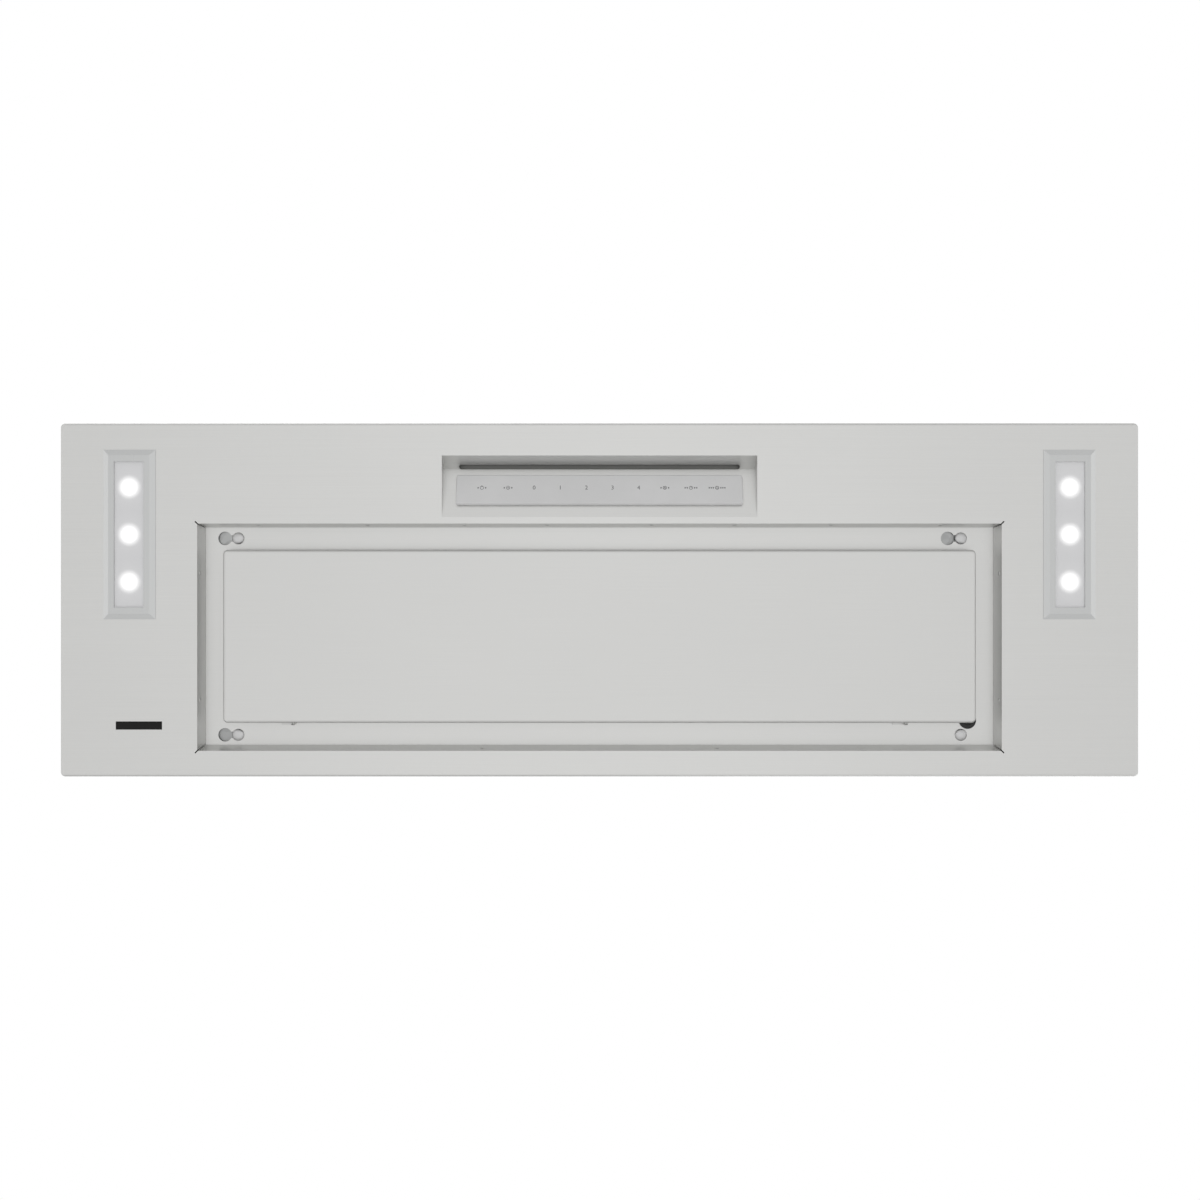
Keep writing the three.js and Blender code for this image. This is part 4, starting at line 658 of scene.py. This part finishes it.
# ---- Lamp bars ----
# At each end a bevelled stainless frame holds a milk-white lens. Three round LEDs on a strip board
# glow through it as soft discs, and a housing closes it off behind.
LED_PITCH = 0.05115
LED_RADIUS = 0.0077
LED_EDGE = 0.0072
HALO_START = 0.006
HALO_END = 0.034
HALO_STRENGTH = 0.03
LENS_TONE = (0.82, 0.82, 0.83)
LED_TONE = (1.0, 1.0, 0.985, 1.0)
bezel_steel = brushed("bezel_steel", (0.57, 0.577, 0.574), 0.3, 0.5, (1500, GRAIN_LENGTH, 1500))
paint(bezel_steel, "left_lamp_bezel", "right_lamp_bezel")
board_white = moulded("lamp_board_white", (0.72, 0.73, 0.72), 0.5)
paint(board_white, "left_lamp_board", "right_lamp_board")
white_plastic = moulded("white_plastic", (0.62, 0.62, 0.60), 0.5)
paint(white_plastic, "left_lamp_housing", "right_lamp_housing")


def fading(made, distance, near, far, strength):
    """A glow that fades out smoothly from a near to a far distance."""
    reach = {"From Min": far, "From Max": near, "To Max": strength}
    fade = node(made, "ShaderNodeMapRange", **reach)
    fade.interpolation_type = "SMOOTHSTEP"
    wire(made, distance, fade.inputs["Value"])
    return fade.outputs[0]


def lit_lens(name, x, y):
    """A milk-white lens, with a soft-edged glow over each LED behind it."""
    made, gloss = material(name, LENS_TONE, 0.35)
    for number in (-1, 0, 1):
        centre = (x, y + number * LED_PITCH, 0.0)
        away = maths(made, "SUBTRACT", object_place(made), centre, kind=VECTOR)
        flat = maths(made, "MULTIPLY", away, (1, 1, 0), kind=VECTOR)
        distance = maths(made, "LENGTH", flat, kind=VECTOR, out=1)
        nearest = maths(made, "MINIMUM", nearest, distance) if number > -1 else distance
    disc = fading(made, nearest, LED_RADIUS - LED_EDGE, LED_RADIUS + LED_EDGE, 1.0)
    halo = fading(made, nearest, HALO_START, HALO_END, HALO_STRENGTH)
    gloss.inputs["Emission Color"].default_value = LED_TONE
    wire(made, maths(made, "ADD", disc, halo), gloss.inputs["Emission Strength"])
    raised(made, gloss, noise(made, object_place(made), 2400.0, 2.0), 0.06)
    return made


for side in ("left", "right"):
    low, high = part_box(f"{side}_lamp_lens")
    lens = lit_lens(f"{side}_lens_milk", (low.x + high.x) / 2, (low.y + high.y) / 2)
    paint(lens, f"{side}_lamp_lens")


# ---- Sensor window ----
# A small glossy black window in the plate, with a receiver behind it.
window_black = moulded("window_black", (0.009, 0.009, 0.0085), 0.2, 1200.0, 0.2)
window_black.node_tree.nodes["Principled BSDF"].inputs["Specular IOR Level"].default_value = 0.16
paint(window_black, "sensor_window")
paint(black_plastic, "sensor_module")


# ---- Grease filters ----
# Three aluminium filters lie side by side behind the cover: a frame, a pack of expanded mesh in
# layers, and a sprung latch at the front with a finger tab.
STRAND_WIDTH = 0.0007
STRAND_THICKNESS = 0.0004
MESH_MARGIN = 0.001
MESH_LIFT = 0.0004
# Each layer: how far it lies above the lowest, and its diamonds' length and width.
MESH_LAYERS = ((0.0, 0.0080, 0.0042), (0.0016, 0.0092, 0.0050), (0.0033, 0.0080, 0.0042))
aluminium = brushed("aluminium", (0.66, 0.665, 0.67), 0.36, 0.6)
mesh_aluminium = brushed("mesh_aluminium", (0.60, 0.605, 0.61), 0.34, 0.5, (300, 300, 300))


def strand_leg(start, end, z):
    """One slanting strip of an expanded mesh, as a thin bar between two points."""
    along = Vector(end) - Vector(start)
    bar = box_piece(
        "leg",
        (-along.length / 2, -STRAND_WIDTH / 2, z),
        (along.length / 2, STRAND_WIDTH / 2, z + STRAND_THICKNESS),
    )
    middle = (Vector(start) + Vector(end)) / 2
    bar.data.transform(shift(*middle) @ turned(math.atan2(along.y, along.x), "Z"))
    return bar


def rows(piece, count_x, pitch_x, count_y, pitch_y):
    """Repeats a piece along X and along Y, each copy in the same mesh."""
    bpy.context.view_layer.objects.active = piece
    piece.select_set(True)
    for count, step in ((count_x, (pitch_x, 0, 0)), (count_y, (0, pitch_y, 0))):
        array = piece.modifiers.new("rows", "ARRAY")
        array.count = count
        array.use_relative_offset = False
        array.use_constant_offset = True
        array.constant_offset_displace = step
        bpy.ops.object.modifier_apply(modifier=array.name)
    bpy.ops.object.select_all(action="DESELECT")
    return piece


for side in ("left", "middle", "right"):
    paint(aluminium, f"{side}_filter_frame")
    paint(hinge_steel, f"{side}_filter_latch")
    low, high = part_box(f"{side}_filter_mesh")
    layers = []
    for number, (rise, length, width) in enumerate(MESH_LAYERS):
        count_x = int((high.x - low.x - MESH_MARGIN) / length)
        count_y = int((high.y - low.y - MESH_MARGIN) / width)
        z = low.z + MESH_LIFT + rise
        left, right = (0, width / 2), (length, width / 2)
        legs = []
        for y in (0, width):
            legs.append(strand_leg(left, (length / 2, y), z))
            legs.append(strand_leg((length / 2, y), right, z))
        layer = rows(joined(f"{side}_mesh_{number}", legs), count_x, length, count_y, width)
        start_x = (low.x + high.x - count_x * length) / 2
        start_y = (low.y + high.y - count_y * width) / 2
        layer.data.transform(shift(start_x, start_y))
        layers.append(layer)
    lattice = joined(f"{side}_filter_lattice", layers)
    settle(lattice, mesh_aluminium, "hood", "filter_mesh", f"{side}_filter_mesh")


# ---- Support rails ----
# Two galvanised channels cross the hood above the tray and carry the studs that it hangs on. Their
# ears show as darker discs in the tray's keyholes.
def galvanised(name, colour, rough):
    """Zinc-coated sheet: flat crystal patches, each in its own tone and gloss."""
    made, gloss = material(name, colour, rough, 0.9)
    bend = noise(made, object_place(made), 60.0, 2.0, out=1)
    warp = maths(made, "MULTIPLY", bend, (0.02, 0.02, 0.02), kind=VECTOR)
    place = maths(made, "ADD", object_place(made), warp, kind=VECTOR)
    crystals = node(made, "ShaderNodeTexVoronoi", Scale=110.0)
    wire(made, place, crystals.inputs["Vector"])
    single = node(made, "ShaderNodeSeparateXYZ")
    wire(made, crystals.outputs["Color"], single.inputs[0])
    shaded(made, gloss, colour, between(made, single.outputs[0], 0.9, 1.07))
    haze = between(made, single.outputs[1], rough - 0.06, rough + 0.08)
    wire(made, haze, gloss.inputs["Roughness"])
    raised(made, gloss, noise(made, object_place(made), 900.0, 2.0), 0.08)
    return made


rail_zinc = galvanised("rail_zinc", (0.42, 0.426, 0.424), 0.45)
paint(rail_zinc, "left_support_rail", "right_support_rail")


# ---- Housing ----
# A galvanised wrap stands on the back of the fascia, round the blower. The flange frame that rests
# on the cabinet is welded round its foot, and a roof sheet is riveted on over its top.
RIVET_RADIUS = 0.0024
ROOF_RIVET_INSET = 0.0075
ROOF_RIVETS_LONG = 12
ROOF_RIVETS_SHORT = 3
zinc = galvanised("zinc", (0.50, 0.51, 0.52), 0.42)
paint(zinc, "housing_wrap", "housing_roof", "cabinet_flange_frame")
rivet_steel = brushed("rivet_steel", (0.62, 0.62, 0.62), 0.3, 0.4, (700, 700, 700))

# Long shallow beads are pressed up in the roof to keep the sheet from drumming. At the left the two
# middle ones make way for the wiring knock-out.
BEAD_LENGTH = 0.33
BEAD_WIDTH = 0.012
BEAD_HEIGHT = 0.0016
BEAD_SUNK = 0.0015
BEAD_ROUNDING = 0.0014
BEAD_X = 0.345
BEAD_PLACES = {-1: (-0.105, 0.105), 1: (-0.105, -0.035, 0.035, 0.105)}

low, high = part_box("housing_roof")
beads = []
for side, rows_y in BEAD_PLACES.items():
    for y in rows_y:
        x = side * BEAD_X
        start = (x - BEAD_LENGTH / 2, y - BEAD_WIDTH / 2, high.z - BEAD_SUNK)
        end = (x + BEAD_LENGTH / 2, y + BEAD_WIDTH / 2, high.z + BEAD_HEIGHT)
        beads.append(box_piece("bead", start, end, BEAD_ROUNDING, 3))
roof_beads = joined("roof_beads", beads)
settle(roof_beads, zinc, "hood", "galvanised")

# Blind rivets run round the roof's edge.
rivet = turned_piece(
    "rivet",
    [
        (RIVET_RADIUS, -0.0002),
        (RIVET_RADIUS, 0.0002),
        (RIVET_RADIUS * 0.8, 0.0006),
        (RIVET_RADIUS * 0.42, 0.00075),
        (RIVET_RADIUS * 0.34, 0.0004),
    ],
    20,
)
left, right = low.x + ROOF_RIVET_INSET, high.x - ROOF_RIVET_INSET
front, rear = low.y + ROOF_RIVET_INSET, high.y - ROOF_RIVET_INSET
places = []
for number in range(ROOF_RIVETS_LONG):
    x = left + (right - left) * number / (ROOF_RIVETS_LONG - 1)
    places += [(x, front), (x, rear)]
for number in range(1, ROOF_RIVETS_SHORT + 1):
    y = front + (rear - front) * number / (ROOF_RIVETS_SHORT + 1)
    places += [(left, y), (right, y)]
rivets = [copied(rivet, "rivet_copy", shift(x, y, high.z)) for x, y in places]
roof_rivets = joined("roof_rivets", rivets)
settle(roof_rivets, rivet_steel, "hood", "galvanised")

# The wrap is folded from two halves. Where they meet, at two opposite corners, one laps over the
# other and a row of rivets closes the seam.
LAP_WIDTH = 0.018
LAP_THICKNESS = 0.0008
LAP_FOOT = 0.006
LAP_TOP = 0.004
LAP_RIVETS = 9
LAP_RIVET_START = 0.02
LAP_RIVET_PITCH = 0.0268
low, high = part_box("housing_wrap")
laps = []
for x, y, side in ((low.x, low.y, -1), (high.x, high.y, 1)):
    start = (x - side * 0.0001, y - side * 0.0005, low.z + LAP_FOOT)
    end = (x + side * LAP_THICKNESS, y - side * LAP_WIDTH, high.z - LAP_TOP)
    lows = [min(a, b) for a, b in zip(start, end)]
    highs = [max(a, b) for a, b in zip(start, end)]
    laps.append(box_piece("lap", lows, highs, 0.0003))
    for number in range(LAP_RIVETS):
        z = low.z + LAP_RIVET_START + number * LAP_RIVET_PITCH
        place = shift(x + side * LAP_THICKNESS, y - side * LAP_WIDTH / 2, z)
        laps.append(copied(rivet, "lap_rivet", place @ turned(side * math.pi / 2, "Y")))
bpy.data.objects.remove(rivet)
lap_seams = joined("lap_seams", laps)
settle(lap_seams, zinc, "hood", "galvanised")


# ---- Duct collar and dampers ----
# A spun collar for round duct, screwed to the roof by its flange. Two half-round flaps on one cross
# rod lie on a bead inside it. They lift when the blower runs and fall shut when it stops.
COLLAR_SIDES = 128
COLLAR_WALL = 0.0012
COLLAR_FLANGE = 0.015
STOP_BELOW_ROD = 0.0009
SCREW_RADIUS = 0.0036
SCREW_PROFILE = ((1.0, -0.0002), (1.0, 0.0008), (0.93, 0.0014), (0.72, 0.0019), (0.4, 0.0021))
CROSS_HALF_LENGTH = 0.0019
CROSS_HALF_WIDTH = 0.00035
CROSS_FLOOR = 0.001
CROSS_TOP = 0.003
COLLAR_SCREWS = 8
COLLAR_SCREW_OUT = 0.0082


def spun(name, profile, sides):
    """A closed profile of (radius, height) points turned about Z."""
    bpy.ops.mesh.primitive_circle_add(vertices=len(profile), fill_type="NOTHING")
    piece = bpy.context.object
    piece.name = name
    for vertex, (radius, height) in zip(piece.data.vertices, profile):
        vertex.co = (radius, 0, height)
    bpy.ops.object.mode_set(mode="EDIT")
    bpy.ops.mesh.select_all(action="SELECT")
    bpy.ops.mesh.spin(steps=sides, angle=2 * math.pi, center=(0, 0, 0), axis=(0, 0, 1))
    bpy.ops.mesh.select_all(action="SELECT")
    bpy.ops.mesh.normals_make_consistent(inside=False)
    bpy.ops.object.mode_set(mode="OBJECT")
    bpy.ops.object.shade_smooth_by_angle(angle=SMOOTH_ANGLE)
    bpy.ops.object.select_all(action="DESELECT")
    return piece


low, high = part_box("duct_collar")
rod_low, rod_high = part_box("damper_rod")
middle_x, middle_y = (low.x + high.x) / 2, (low.y + high.y) / 2
flange = (high.x - low.x) / 2
outer = flange - COLLAR_FLANGE
inner = outer - COLLAR_WALL
stop = (rod_low.z + rod_high.z) / 2 - STOP_BELOW_ROD
foot = [
    (inner, low.z + 0.0014),
    (inner + 0.0014, low.z),
    (flange - 0.0004, low.z),
    (flange, low.z + 0.0003),
    (flange, low.z + COLLAR_WALL - 0.0003),
    (flange - 0.0004, low.z + COLLAR_WALL),
    (outer + 0.0018, low.z + COLLAR_WALL),
    (outer, low.z + 0.003),
]
duct_bead = [
    (outer, high.z - 0.0125),
    (outer + 0.0012, high.z - 0.0108),
    (outer + 0.0012, high.z - 0.0092),
    (outer, high.z - 0.0075),
]
rim = [(outer - 0.0004, high.z - 0.0002), (outer - 0.0006, high.z), (inner, high.z)]
stop_bead = [
    (inner, stop),
    (inner - 0.0034, stop - 0.0002),
    (inner - 0.004, stop - 0.0006),
    (inner - 0.0034, stop - 0.001),
    (inner, stop - 0.0012),
]
collar = spun("duct_collar_fine", foot + duct_bead + rim + stop_bead, COLLAR_SIDES)
over(collar, low, high)
settle(collar, zinc, "hood", "galvanised", "duct_collar")
flap_zinc = galvanised("flap_zinc", (0.46, 0.47, 0.48), 0.4)
paint(flap_zinc, "damper_flap_front", "damper_flap_rear")
paint(hinge_steel, "damper_rod")

# A pan-head screw with a cross in its head, for the collar's flange, the box lid and the blower.
screw = turned_piece("screw", [(SCREW_RADIUS * wide, rise) for wide, rise in SCREW_PROFILE], 24)
cutters = []
for half_x, half_y in (
    (CROSS_HALF_LENGTH, CROSS_HALF_WIDTH),
    (CROSS_HALF_WIDTH, CROSS_HALF_LENGTH),
):
    start, end = (-half_x, -half_y, CROSS_FLOOR), (half_x, half_y, CROSS_TOP)
    cutters.append(box_piece("cross", start, end))
screw.select_set(True)
bpy.context.view_layer.objects.active = screw
for cutter in cutters:
    sink = screw.modifiers.new("sink", "BOOLEAN")
    sink.operation = "DIFFERENCE"
    sink.solver = "EXACT"
    sink.object = cutter
    bpy.ops.object.modifier_apply(modifier=sink.name)
bpy.ops.object.select_all(action="DESELECT")
for cutter in cutters:
    bpy.data.objects.remove(cutter)

screws = []
for number in range(COLLAR_SCREWS):
    angle = 2 * math.pi * (number + 0.5) / COLLAR_SCREWS
    x = middle_x + math.cos(angle) * (outer + COLLAR_SCREW_OUT)
    y = middle_y + math.sin(angle) * (outer + COLLAR_SCREW_OUT)
    place = shift(x, y, low.z + COLLAR_WALL)
    screws.append(copied(screw, "collar_screw", place @ turned(number * 0.7, "Z")))
collar_screws = joined("collar_screws", screws)
settle(collar_screws, rivet_steel, "hood", "galvanised")


# ---- Blower ----
# A galvanised spiral casing with a bellmouth on each side. The double-inlet wheel of forward-curved
# blades turns in it on the shaft of a motor that hangs in the left inlet on a three-armed spider.
INLET_SCREWS = 6
INLET_SCREW_IN = 0.0045
blower_zinc = galvanised("blower_zinc", (0.48, 0.49, 0.50), 0.4)
paint(blower_zinc, "blower_scroll", "left_inlet_ring", "right_inlet_ring", "motor_bracket")
wheel_zinc = galvanised("wheel_zinc", (0.55, 0.56, 0.57), 0.34)
paint(wheel_zinc, "impeller")
paint(hinge_steel, "motor_shaft")
motor_black = moulded("motor_black", (0.03, 0.03, 0.032), 0.36, 1400.0, 1.5)
paint(motor_black, "motor")

screws = []
for side, facing in (("left", -1), ("right", 1)):
    low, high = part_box(f"{side}_inlet_ring")
    x = low.x if facing < 0 else high.x
    y, z = (low.y + high.y) / 2, (low.z + high.z) / 2
    ring = (high.z - low.z) / 2 - INLET_SCREW_IN
    for number in range(INLET_SCREWS):
        angle = 2 * math.pi * (number + 0.25) / INLET_SCREWS
        place = shift(x, y + math.cos(angle) * ring, z + math.sin(angle) * ring)
        screws.append(copied(screw, "inlet_screw", place @ turned(facing * math.pi / 2, "Y")))
inlet_screws = joined("inlet_screws", screws)
settle(inlet_screws, rivet_steel, "hood", "galvanised")


# ---- Electrical parts ----
# A junction box hangs under the roof's wiring knock-out, with its lid screwed on from below. The
# motor's capacitor and the power module are fixed to the rear wall.
LID_SCREW_INSET = 0.008
paint(zinc, "junction_box", "junction_box_cover")
module_white = moulded("module_white", (0.60, 0.60, 0.58), 0.48)
paint(module_white, "power_module")
can_grey = moulded("can_grey", (0.42, 0.43, 0.44), 0.32, 900.0, 0.5)
paint(can_grey, "capacitor")
low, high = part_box("junction_box_cover")
screws = []
for x in (low.x + LID_SCREW_INSET, high.x - LID_SCREW_INSET):
    for y in (low.y + LID_SCREW_INSET, high.y - LID_SCREW_INSET):
        place = shift(x, y, low.z) @ turned(math.pi, "X")
        screws.append(copied(screw, "lid_screw", place))
lid_screws = joined("lid_screws", screws)
settle(lid_screws, rivet_steel, "hood", "galvanised")
bpy.data.objects.remove(screw)
